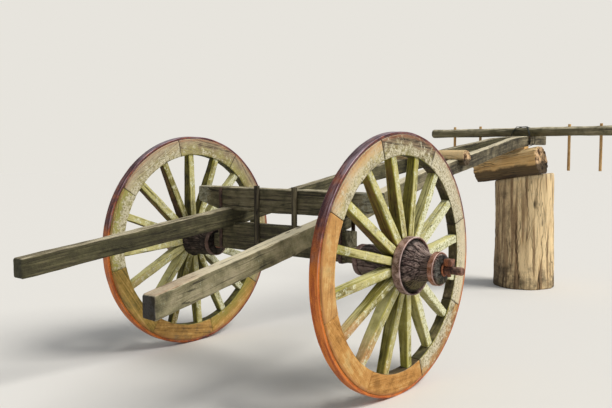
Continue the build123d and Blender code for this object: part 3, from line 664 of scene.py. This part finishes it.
def half_log():
    """Shell of the half log: a round log with a flat underside, tilted to lie on the slanted stump."""
    axis = np.array([0, cos(LOG_TILT), -sin(LOG_TILT)])
    up = np.array([0, sin(LOG_TILT), cos(LOG_TILT)])
    stump_top = STUMP_MIDDLE[2] + STUMP_HALF[2] - STUMP_HALF[0] * tan(LOG_TILT)
    origin = np.array([middle_and_half("half_log")[0][0], 0, stump_top]) + up * (LOG_H - LOG_R)
    place, share = stations(LOG_FAR - LOG_NEAR, step=0.008, rim=0.006, rim_share=0.96, caps=END_RINGS)
    centre = origin + (LOG_NEAR + place)[:, None] * axis
    made = trunk(centre, X, up, LOG_R - 0.001, place, share, around=220, seed=41, lobes=0.02, ripple=0.0025,
                 cracked=(26, 0.004), deep=0.010, flat=-(LOG_H - LOG_R), broken=0.009)
    above = rise((made["rings"] - centre[:, None]) @ up, -0.075, 0.015)
    # Painted shade on the underside and in the pits of the broken ends
    return made | {"dirt_and_shade": 0.12 + 1.2 * (1 - above) + 0.45 * made["pit"], "tone": 2.0, "bleach_and_light": 0.36,
                   "lichen": 0.2}


def stump():
    """Shell of the stump: rings that rise to a slanted top. The radius swells at the foot and by lobes and
    flutes, is cut by fine and by deep cracks that run up the wood, and has one knot hole, painted dark as
    shade."""
    radius, tilt, around, shade_angle = STUMP_HALF[0], tan(LOG_TILT), 460, 2.3
    inset, flare, lean = 0.019, 0.014, 0.006
    fine_depth, deep_depth, knot_depth = 0.008, 0.020, 0.014
    angle = np.linspace(0, 2 * pi, around, endpoint=False)
    level_top = 2 * STUMP_HALF[2] - radius * tilt
    place, share = stations(level_top, step=0.010, rim=0.008, rim_share=0.97, caps=STUMP_RINGS)
    drawn = share[:, None]
    along = np.broadcast_to(place[:, None], (len(place), around))
    foot = 1 - along / level_top
    base = radius - inset + flare * foot ** 2
    grain = np.stack([along, base * np.cos(angle) * drawn, base * np.sin(angle) * drawn], -1)
    crack = cracks(angle[None], along, (90, 0.0045), radius, level_top, seed=51)
    deep = cracks(angle[None], along, (12, 0.010), radius, level_top, seed=52)
    round_from_knot = np.angle(np.exp(1j * (angle - KNOT_ANGLE))) * radius
    knot = np.exp(-(round_from_knot / KNOT_HALF_W) ** 2 - ((along - KNOT_Z) / KNOT_HALF_H) ** 2)
    move = 0.006 * waves(grain, (1.6, 0.30, 0.30), 53) + 0.0045 * waves(grain, (0.50, 0.06, 0.06), 54)
    move = np.clip(move, -0.02, 0.008) + 0.0016 * waves(grain, (0.12, 0.022, 0.022), 55)
    size = (base + move - fine_depth * crack - deep_depth * deep - knot_depth * knot) * drawn
    x, y = size * np.cos(angle) - lean * (1 - foot), size * np.sin(angle) + lean * (1 - foot)
    rings = np.stack([STUMP_MIDDLE[0] + x, y, along * (level_top - y * tilt) / level_top], -1)
    stripes = rise(waves(grain, (0.70, 0.05, 0.05), 56), -0.1, 0.7)
    shaded_side = rise(np.cos(angle - shade_angle), 0.3, 1.0)[None]
    rim = rise(along, level_top - 0.05, level_top - 0.01)
    # Painted shade on the side turned from the light, through the dirt and mud marks, and in the cracks and
    # knot hole by their depth; the wood is also darker towards the foot
    return {"rings": rings, "grain": grain, "end": (drawn < 1) * 1.0,
            "crack": np.maximum(np.maximum(0.8 * crack, deep), knot),
            "tone": 2.6 - 2.4 * stripes, "bleach_and_light": 0.35 + 0.4 * rim,
            "dirt_and_shade": 0.10 + 0.45 * (1 - rise(along, 0.0, 0.30)) + 0.25 * shaded_side,
            "mud": 0.22 + 0.45 * stripes + 0.35 * shaded_side, "lichen": 0.10 + 0.2 * rim}


def packing_block(side):
    """Shell of a block split from a plank: its top follows the underside of the shaft that lies on it."""
    middle, size = middle_and_half("packing_blocks")
    y = side * PACK_Y
    place, share = stations(2 * size[0], step=0.006, rim=0.003)
    at = middle[0] - size[0] + place
    top, height = (np.interp(at - AXLE_X, SHAFT_STATIONS[:, 0], column) for column in SHAFT_STATIONS.T[2:4])
    under = middle[2] - size[2] + (PACK_Y - y) * tan(LOG_TILT)
    centre = np.stack([at, 0 * at + y, (top - height + under) / 2], -1)
    return timber(centre, Y, Z, PACK_W, top - height - under, place, share, seed=125 + side, corner=0.003,
                  warp=0.001, chips=0.003, outline=(5, 3)) | {"tone": 2.5}


def round_bar(start_at, end_at, radius, around, seed):
    """Shell of a straight round bar between two points, with its ends closed and their edges rounded."""
    start_at, end_at = np.array(start_at, float), np.array(end_at, float)
    length = np.linalg.norm(end_at - start_at)
    axis = (end_at - start_at) / length
    across = np.cross(axis, X if abs(axis[0]) < 0.7 else Y)
    across /= np.linalg.norm(across)
    place, share = stations(length, step=max(length / 60, 0.004), rim=0.003, rim_share=0.9)
    centre = start_at + place[:, None] * axis
    return trunk(centre, across, np.cross(axis, across), radius, place, share, around, seed, lobes=0.01,
                 ripple=0.0006, cracked=(0, 0.004), deep=0.0)


def squared(low, high, seed, step=0.003, corner=0.003):
    """Shell of an upright squared bar that fills the box between two corners."""
    low, high = np.array(low, float), np.array(high, float)
    place, share = stations(high[2] - low[2], step, rim=0.002, rim_share=0.9)
    middle = (low + high) / 2
    centre = np.stack([0 * place + middle[0], 0 * place + middle[1], low[2] + place], -1)
    return timber(centre, X, Y, high[0] - low[0], high[1] - low[1], place, share, seed, corner=corner,
                  warp=0.0006, chips=0.001, outline=(3, 4))


def neck_sticks():
    """Shells of the whittled sticks, each a round bar from the bottom to the top of the node's box."""
    low, high = (np.array(corner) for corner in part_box("neck_sticks"))
    x = (low[0] + high[0]) / 2
    return [round_bar((x, y, low[2]), (x, y, high[2]), STICK_R, around=20, seed=130 + number)
            | {"tone": 0.5, "bleach_and_light": 0.4, "dirt_and_shade": 0.2} for number, y in enumerate(STICK_YS)]


def stakes():
    """Shells of the stakes, each a squared bar from the bottom to the top of the node's box."""
    low, high = (np.array(corner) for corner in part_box("stakes"))
    return [squared((low[0], y - STAKE_HALF, low[2]), (high[0], y + STAKE_HALF, high[2]), 140 + number,
                    step=0.006) | {"tone": -2.0} for number, y in enumerate((-STAKE_Y, STAKE_Y))]


def loop_tube(path):
    """Shell of a wire along a closed path: a small circle carried round it, square to its run."""
    around = 10
    run = np.roll(path, -1, axis=0) - np.roll(path, 1, axis=0)
    run /= np.linalg.norm(run, axis=1, keepdims=True)
    side = np.cross(run, np.cross(path - path.mean(axis=0), run))
    side /= np.linalg.norm(side, axis=1, keepdims=True)
    angle = np.linspace(0, 2 * pi, around, endpoint=False)[:, None]
    circle = np.cos(angle) * side[:, None] + np.sin(angle) * np.cross(run, side)[:, None]
    rings = path[:, None] + WIRE_R * circle
    return {"rings": rings, "grain": rings, "loop": True}


def yoke_lashing():
    """Shells of the lashing: turns of wire in two crossed directions, over the pole and under both shafts,
    each a smooth closed path, with neighbouring turns set a wire apart and slightly crooked."""
    middle, size = middle_and_half("yoke_lashing")
    inset, over_pole, beside_pole, drop, shaft_top = 0.007, 0.058, 0.085, 0.036, 1.407
    half, strand_step = size[1] / cos(WIRE_TURN) - inset, 2.2 * WIRE_R
    top, under = middle[2] + size[2] - WIRE_R, middle[2] - size[2] + WIRE_R
    outline = np.array([(-over_pole, top), (over_pole, top), (beside_pole, top - drop), (half, shaft_top),
                        (half, under), (-half, under), (-half, shaft_top), (-beside_pole, top - drop),
                        (-over_pole, top)])
    smooth = spaced(rounded(outline, 3), 0.006)[:-1]
    shells = []
    for number, side in enumerate((1, -1)):
        across = np.array([sin(WIRE_TURN), side * cos(WIRE_TURN), 0])
        beside = np.array([side * cos(WIRE_TURN), -sin(WIRE_TURN), 0])
        for strand in (-1, 0, 1):
            path = middle[0] * X + smooth[:, :1] * across + smooth[:, 1:] * Z + strand * strand_step * beside
            crooked = 0.0014 * waves(path, (0.12, 0.12, 0.12), 60 + strand + 5 * number)[:, None] * beside
            shells.append(loop_tube(path + crooked))
    return shells


def binding_strap(side):
    """Shell of an iron strap bent round bolster and beam: a flat bar carried round an oblong whose corners
    are cut by the strap's bend."""
    low, high = (np.array(corner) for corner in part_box("binding_straps"))
    (x0, _, z0), (x1, _, z1) = low + STRAP_T / 2, high - STRAP_T / 2
    oblong = np.array([(x0, z0), (x1, z0), (x1, z1), (x0, z1), (x0, z0)])
    edge = []
    for start, stop in zip(oblong, oblong[1:]):
        length = np.linalg.norm(stop - start)
        edge += [start + (stop - start) * at / length for at in (STRAP_BEND, length - STRAP_BEND)]
    path = spaced(np.array(edge + edge[:1]), 0.008)[:-1]
    run = np.roll(path, -1, axis=0) - np.roll(path, 1, axis=0)
    run /= np.linalg.norm(run, axis=1, keepdims=True)
    out = np.stack([run[:, 1], -run[:, 0]], 1)
    core, reach = box_outline(3, 3)
    corner = 0.0015
    offset = core[0] * (STRAP_T / 2 - corner) + reach[0] * corner
    beside = core[1] * (STRAP_HALF - corner) + reach[1] * corner
    flat = path[:, None] + offset[:, None] * out[:, None]
    y = np.broadcast_to(side * STRAP_Y + beside, flat.shape[:2])
    rings = np.stack([flat[..., 0], y, flat[..., 1]], -1)
    return {"rings": rings, "grain": rings, "loop": True, "rust": 0.2, "dirt_and_shade": 0.6}


def axle_bar():
    """Shells of the iron bar: on each side a round arm out to the end of the node's box and the collar that
    the nave runs against, and a short squared block inside the middle of the beam."""
    arm_root, block_half = COLLAR_Y - 0.02, 0.03
    arm_end = middle_and_half("axle_bar")[1][1]
    axle = np.array([AXLE_X, 0, HUB_Z])
    shells = []
    for side in (-1, 1):
        for start_at, end_at, radius, around, seed, rust, worn in (
                (arm_root, arm_end, ARM_R, 48, 150, 0.32, 0.3),
                (COLLAR_Y, COLLAR_Y + COLLAR_W, COLLAR_R, 64, 153, 0.4, 0.0)):
            bar = round_bar(axle + Y * side * start_at, axle + Y * side * end_at, radius, around, seed + side)
            shells.append(bar | {"rust": rust, "worn": worn})
    reach = np.array([ARM_HALF, block_half, ARM_HALF])
    return shells + [squared(axle - reach, axle + reach, 180, step=0.006, corner=0.002)]


def washer(side):
    """Shell of a washer turned about the axle: a flat ring that lies against the linchpin's head."""
    outline = [(0, WASHER_IN_R), (0, WASHER_OUT_R), (WASHER_T, WASHER_OUT_R), (WASHER_T, WASHER_IN_R),
               (0, WASHER_IN_R)]
    made = turned(rounded(outline, 1), side, around=64, seed=160)
    return made | {"rings": made["rings"] + Y * side * (PIN_Y - PIN_HEAD - WASHER_T - WHEEL_Y), "rust": 0.5}


def linchpin(side):
    """Shells of a linchpin: a squared head on top of the arm and a squared shank down through it."""
    middle = np.array([AXLE_X, side * PIN_Y, HUB_Z])
    return [squared(middle + (-half, -half, bottom), middle + (half, half, top), seed + side, corner=corner)
            | {"rust": 0.42}
            for half, bottom, top, seed, corner in ((PIN_HEAD, 0.020, 0.054, 170, 0.003),
                                                    (PIN_SHANK, -0.034, 0.021, 173, 0.002))]


def wheel_directions(angle):
    """Outward and forward directions in the plane of a wheel at each angle."""
    return (np.stack([np.cos(angle), 0 * angle, np.sin(angle)], -1),
            np.stack([-np.sin(angle), 0 * angle, np.cos(angle)], -1))


def spokes(side, first_turn, muddy, mossy):
    """Shell of all spokes: squared timbers set like rays from the nave to the rim, deep at the nave, waisted
    towards the rim and leaning in from the nave's seat to the middle of the rim."""
    angle = radians(first_turn) + np.arange(SPOKES) * 2 * pi / SPOKES
    out, ahead = wheel_directions(angle)
    inner, outer = SEAT_R - SPOKE_IN_NAVE, FELLOE_IN_R + SPOKE_IN_RIM
    place, share = stations(outer - inner, step=0.009, rim=0.003, rim_share=0.95)
    radius = inner + place
    width, depth, lean = (np.interp(radius, *table) for table in (SPOKE_WIDTH, SPOKE_DEPTH, SPOKE_LEAN))
    centre = hub(side) + radius[:, None] * out[:, None] + (lean * side)[:, None] * Y
    ones = np.ones((SPOKES, 1))
    made = timber(centre, ahead[:, None], Y * side, width * ones, depth * ones, place, share, seed=71 + side,
                  warp=0.0022, chips=0.006, outline=(5, 4))
    place = made["rings"] - hub(side)
    reach = np.linalg.norm(place[..., (0, 2)], axis=-1)
    far_out = rise(reach, 0.25, FELLOE_IN_R)
    ahead_share = rise(place[..., 0] / reach, 0.2, 0.9)
    low_behind = rise(-place[..., 0], 0.0, 0.35) * rise(-place[..., 2], -0.05, 0.35)
    outside, above = np.abs(made["over"]), rise(place[..., 2], 0.0, 0.15)
    flank = np.abs(made["beside"]) * (1 - outside)
    # Painted light on the broad faces across the wheel and on the upward flanks of the lower spokes, painted
    # shade on the flanks of the upper spokes and over the whole far wheel; the spokes that point forward are
    # paler
    return made | {"bleach_and_light": 0.62 * outside + 0.62 * ahead_share + 0.30 * flank * (1 - above),
                   "moss": (0.24 + 0.40 * made["edge"] + 0.25 * far_out ** 4) * mossy,
                   "lichen": 0.42 * outside + 0.42 * ahead_share,
                   "mud": 0.24 * outside + muddy * 0.70 * low_behind * far_out,
                   "rust": 0.45 * flank * above * rise(-place[..., 0], 0.0, 0.1),
                   "dirt_and_shade": 0.10 + 0.25 * flank * above * (1 - ahead_share) + 0.16 * (side > 0),
                   "tone": 1.4 * made["tone"] - 1.0 * (side > 0)}


# Felloes of each wheel from the first joint on: mud, lichen, moss, tone, bleaching
FELLOE_LOOKS = {
    "right": [(0.05, 0.60, 0.15, 0.3, 0.55), (0.15, 0.46, 0.25, -0.4, 0.25), (0.28, 0.46, 0.32, 0.6, 0.85),
              (0.80, 0.05, 0.25, 1.0, 0.5), (0.90, 0.0, 0.35, 0.0, 0.2), (0.95, 0.10, 0.15, -0.6, 0.2),
              (0.30, 0.50, 0.25, 0.2, 0.3), (0.05, 0.45, 0.15, 0.8, 0.65)],
    "left": [(0.1, 0.30, 0.3, 0.2, 0.4), (0.1, 0.35, 0.3, 0.0, 0.4), (0.1, 0.45, 0.3, 0.6, 0.5),
             (0.0, 0.52, 0.7, 0.0, 0.5), (0.50, 0.12, 0.6, -1.4, 0.1), (0.60, 0.05, 0.5, -1.0, 0.1),
             (0.4, 0.25, 0.6, -0.6, 0.2), (0.1, 0.40, 0.4, 0.2, 0.4)]}


def felloes(name, side, first_joint):
    """Shell of the wooden rim: blocks bent along an arc, with a worn joint between neighbours. The grain runs
    straight along each block's chord, as in a felloe sawn from a plank."""
    step = 2 * pi / FELLOES
    middle_r = (FELLOE_IN_R + FELLOE_OUT_R) / 2
    gap = FELLOE_GAP / middle_r
    place, share = stations((step - gap) * middle_r, step=0.010, rim=0.003, rim_share=0.95, caps=(0.4, 0.8))
    begin = radians(first_joint) + np.arange(FELLOES)[:, None] * step + gap / 2
    out = wheel_directions(begin + place / middle_r)[0]
    made = timber(hub(side) + middle_r * out, out, Y * side, FELLOE_DEPTH, FELLOE_W, place, share,
                  seed=81 + side, corner=0.004, warp=0.0012, chips=0.004, outline=(9, 4))
    flat = (made["rings"] - hub(side))[..., (0, 2)]
    centre_angle = begin + (step - gap) / 2
    turn = np.stack([np.cos(centre_angle), np.sin(centre_angle)], -1)[:, None]
    chord = np.stack([flat[..., 1] * turn[..., 0] - flat[..., 0] * turn[..., 1], (flat * turn).sum(-1),
                      made["rings"][..., 1]], -1)
    block_apart = np.arange(FELLOES)[:, None, None, None] * 3.7
    mud, lichen, moss, tone, bleach_and_light = np.array(FELLOE_LOOKS[name]).T[:, :, None, None]
    near_joint = 1 - rise(np.minimum(place, place[-1] - place), 0.0, 0.012)[:, None]
    outside, soffit = np.abs(made["over"]), np.clip(-made["beside"], 0, 1)
    inner_edge = made["edge"] * (made["beside"] < 0) * (outside > 0)
    reach = (flat ** 2).sum(-1) ** 0.5
    outer = rise(reach, FELLOE_IN_R + 0.02, FELLOE_OUT_R - 0.01)
    little_mud, clean = (mud > 0.2) * (mud < 0.5), mud < 0.5
    # Painted shade on the rim's inner face, towards the hub; the joints are dark
    return made | {"grain": chord + block_apart, "tone": tone, "bleach_and_light": bleach_and_light * outside,
                   "mud": mud * (1 - 0.6 * soffit) + 0.30 * outer * outside * little_mud,
                   "lichen": lichen * (0.35 + 0.65 * outside) * (1.25 - 0.5 * outer),
                   "moss": (moss + 0.9 * inner_edge * clean + 0.3 * soffit
                            + 0.25 * (1 - outer) * outside * clean),
                   "rust": 0.60 * rise(reach, FELLOE_OUT_R - 0.035, FELLOE_OUT_R) * outside,
                   "dirt_and_shade": 0.10 + 0.30 * near_joint * (1 - mud) + 0.60 * (soffit > 0.9)}


def tyre(side, muddy):
    """Shell of the iron tyre: a flat bar with rounded edges carried round the rim, worn slightly uneven."""
    angle = np.linspace(0, 2 * pi, 420, endpoint=False)
    out = wheel_directions(angle)[0]
    core, reach = box_outline(5, 4)
    corner = 0.004
    radial = core[0] * (TYRE_T / 2 - corner) + reach[0] * corner
    axial = core[1] * (TYRE_W / 2 - corner) + reach[1] * corner
    rings = hub(side) + (WHEEL_R - TYRE_T / 2 + radial)[..., None] * out[:, None] + axial[:, None] * Y * side
    worn = np.clip(waves(rings, (0.18, 0.1, 0.18), 90 + side), -1, 0)
    rings = rings + (0.0016 * worn * np.clip(reach[0], 0, 1))[..., None] * out[:, None]
    ahead, _, height = np.moveaxis(rings - hub(side), -1, 0)
    behind, low = rise(-ahead, -0.2, 0.5), rise(-height, -0.30, 0.10)
    edge = np.broadcast_to(2 * np.abs(reach[0] * reach[1]), low.shape)
    along = np.broadcast_to((angle * WHEEL_R)[:, None], low.shape)
    # Painted sky reflection over the upper part of the tyre, strongest on the top of its tread, goes into the
    # worn mark with the rubbed edges
    painted_sheen = rise(height, 0.35, 0.6) * rise(reach[0], 0.5, 1)
    return {"rings": rings, "grain": np.stack([along, 0 * along + radial, 0 * along + axial + side], -1),
            "loop": True, "worn": 0.18 * (1 - low) + 0.35 * painted_sheen + 0.35 * edge,
            "rust": 0.18 + (low * (0.50 + 0.6 * behind) + 0.30 * edge * low) * muddy,
            "mud": edge * low * behind * muddy}


def band(side, start_at, width, inner_r, thick, corner, seed):
    """Shell of an iron band round a nave: a flat bar with rounded edges carried round the axle."""
    core, reach = box_outline(5, 4)
    half_w, half_t = width / 2, thick / 2
    station = start_at + half_w + core[0] * (half_w - corner) + reach[0] * corner
    radius = inner_r + half_t + core[1] * (half_t - corner) + reach[1] * corner
    made = turned(np.stack([station, radius], 1), side, around=220, seed=seed + side, relief=0.0007)
    height = made["rings"][..., 2] - HUB_Z
    front = rise(reach[0] + reach[1], 0.9, 1.4)[:, None]
    # Painted shade on the inner bands; all bands are darker towards the bottom
    return made | {"worn": 0.30 + 0.55 * front * (start_at > 0),
                   "dirt_and_shade": 0.60 * rise(-height, 0.0, 0.12) + 0.55 * (start_at < 0),
                   "rust": 0.12 + 0.18 * rise(np.abs(height), 0.02, 0.1) + 0.60 * (start_at > SEAT_OUT)}


def nave(side):
    """Shell of a nave: turned wood, domed and recessed inside the lip of its large band, waisted, and ringed
    at both ends, with open checks that run from the dome to the waist."""
    lip = SEAT_OUT + BAND_W - BAND_LIP
    # Station along the axle and radius, from the bore's inner end round to its outer end
    outline = [
        (NAVE_IN, BUSH_R), (NAVE_IN, 0.072), (NAVE_IN + 0.004, 0.0755), (NAVE_IN + 0.031, 0.0755),
        (NAVE_IN + 0.034, 0.085), (-0.170, 0.088), (-0.160, 0.083), (-0.150, 0.088), (-0.070, 0.090),
        (-0.060, 0.085), (-0.050, 0.091), (-0.030, 0.093), (-0.022, SEAT_R), (SEAT_OUT, SEAT_R),
        (SEAT_OUT, 0.138), (lip, 0.138), (lip, 0.124), (lip + 0.020, 0.117), (lip + 0.036, 0.106),
        (lip + 0.052, 0.088), (lip + 0.066, 0.076), (0.178, 0.069), (0.214, 0.069), (0.217, 0.0755),
        (NAVE_OUT - 0.004, 0.0755), (NAVE_OUT, 0.071), (NAVE_OUT, BUSH_R)]
    made = turned(spaced(rounded(outline, 2), 0.0045), side, around=420, seed=100 + side, relief=0.0022,
                  cracked=(110, 0.0024), deep=0.007)
    station, height = (made["rings"][..., 1] - side * WHEEL_Y) * side, made["rings"][..., 2] - HUB_Z
    in_lip = (1 - rise(station, lip, lip + 0.018)) * (station > 0)
    # Painted shade in the recess inside the band's lip, on the inner half of the nave and over the whole far
    # nave
    return made | {"moss": 0.15 + 0.45 * rise(-height, -0.02, 0.1), "tone": 1.2,
                   "dirt_and_shade": 0.20 + 0.3 * (station < 0) + 0.6 * in_lip + 0.25 * (side > 0),
                   "end": 1.0 * (station > NAVE_OUT - 0.003)}


# Wheels: side, turn of the first spoke and of the first felloe joint in degrees, share of mud and of moss
for name, side, first_spoke, first_joint, muddy, mossy in (("right", -1, 8.5, 17.5, 1.0, 1.0),
                                                           ("left", 1, 3.0, 12.0, 0.5, 0.75)):
    body = f"wheel_{name}"
    piece(f"worn_spokes_{name}", body, SPOKE_WOOD, [f"spokes_{name}"],
          [spokes(side, first_spoke, muddy, mossy)])
    piece(f"weathered_felloes_{name}", body, FELLOE_WOOD, [f"felloes_{name}"],
          [felloes(name, side, first_joint)])
    piece(f"rusted_tyre_{name}", body, TYRE_IRON, [f"tyre_{name}"], [tyre(side, muddy)])
    piece(f"cracked_nave_{name}", body, NAVE_WOOD, [f"nave_{name}"], [nave(side)])
    piece(f"iron_nave_bands_{name}", body, BAND_IRON, [f"nave_bands_{name}"],
          [band(side, SEAT_OUT, BAND_W, inner_r=0.139, thick=0.009, corner=0.0035, seed=110),
           band(side, NAVE_IN, RING_W, inner_r=0.076, thick=0.008, corner=0.003, seed=113),
           band(side, RING_OUT, RING_W, inner_r=0.076, thick=0.008, corner=0.003, seed=116)])
    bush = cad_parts[f"bush_{name}"].data
    bush.materials.clear()
    bush.materials.append(DARK_IRON)

# Everything that stands still: name, node, slot, material and shells
GREY, RAW, IRON = ("grey_timber", SHAFT_WOOD), ("raw_timber", RAW_LOG), ("rusted_iron", DARK_IRON)
for name, node, (slot, material), shells in (
        ("old_shaft_right", "shaft_right", GREY, [shaft(-1)]),
        ("old_shaft_left", "shaft_left", GREY, [shaft(1)]),
        ("grooved_bolster", "bolster", GREY, [bolster()]),
        ("old_axle_beam", "axle_beam", GREY, [axle_beam()]),
        ("peeled_cross_bar", "cross_bar", RAW, [cross_bar()]),
        ("hewn_yoke_pole", "yoke_pole", GREY, [yoke_pole()]),
        ("split_half_log", "half_log", RAW, [half_log()]),
        ("split_packing_blocks", "packing_blocks", RAW, [packing_block(-1), packing_block(1)]),
        ("cracked_stump", "stump", ("raw_timber", STUMP_WOOD), [stump()]),
        ("whittled_neck_sticks", "neck_sticks", RAW, neck_sticks()),
        ("wire_yoke_lashing", "yoke_lashing", ("rusted_iron", BLACK_WIRE), yoke_lashing()),
        ("iron_binding_straps", "binding_straps", IRON, [binding_strap(-1), binding_strap(1)]),
        ("rough_stakes", "stakes", GREY, stakes()),
        ("forged_axle_bar", "axle_bar", IRON, axle_bar()),
        ("rusted_washers", "washers", IRON, [washer(-1), washer(1)]),
        ("rusted_linchpins", "linchpins", IRON, linchpin(-1) + linchpin(1))):
    piece(name, "frame", material, [node], shells)


def studio():
    """Pale floor and pale surroundings, one broad soft light from above, and the camera."""
    bpy.ops.mesh.primitive_grid_add(size=80, x_subdivisions=2, y_subdivisions=2)
    floor = bpy.context.object
    floor.name = "pale_floor"
    floor.data.materials.append(finished("pale_matt_floor", lambda tree: {
        "Base Color": paint("#dcdad5"), "Roughness": 0.95, "Specular IOR Level": 0.1}))

    world = bpy.data.worlds.new("pale_surroundings")
    world.use_nodes = True
    tree = world.node_tree
    tree.nodes.clear()
    ambient = add(tree, "Background", {"Color": paint("#f2f5fa"), "Strength": 0.42})
    backdrop = add(tree, "Background", {"Color": paint("#e7e4dd"), "Strength": 1.0})
    seen = add(tree, "LightPath", wanted="Is Camera Ray")
    add(tree, "OutputWorld", {"Surface": add(tree, "MixShader", {0: seen, 1: ambient, 2: backdrop})})
    bpy.context.scene.world = world

    lamp = bpy.data.lights.new("soft_overhead_light", "SUN")
    lamp.energy = 3.2
    lamp.angle = radians(30)
    lamp.color = (1.0, 0.97, 0.92)
    light = bpy.data.objects.new("soft_overhead_light", lamp)
    light.rotation_mode = "QUATERNION"
    light.rotation_quaternion = Vector((0.26, -0.62, 0.76)).to_track_quat("Z", "Y")
    bpy.context.scene.collection.objects.link(light)

    camera = bpy.data.objects.new("camera", bpy.data.cameras.new("camera"))
    camera.data.lens = CAMERA_LENS
    camera.location = CAMERA_PLACE
    level = cos(CAMERA_PITCH)
    forward = Vector((cos(CAMERA_YAW) * level, sin(CAMERA_YAW) * level, sin(CAMERA_PITCH)))
    camera.rotation_mode = "QUATERNION"
    camera.rotation_quaternion = forward.to_track_quat("-Z", "Y")
    bpy.context.scene.collection.objects.link(camera)
    bpy.context.scene.camera = camera
    bpy.context.scene.view_settings.view_transform = "Standard"


studio()
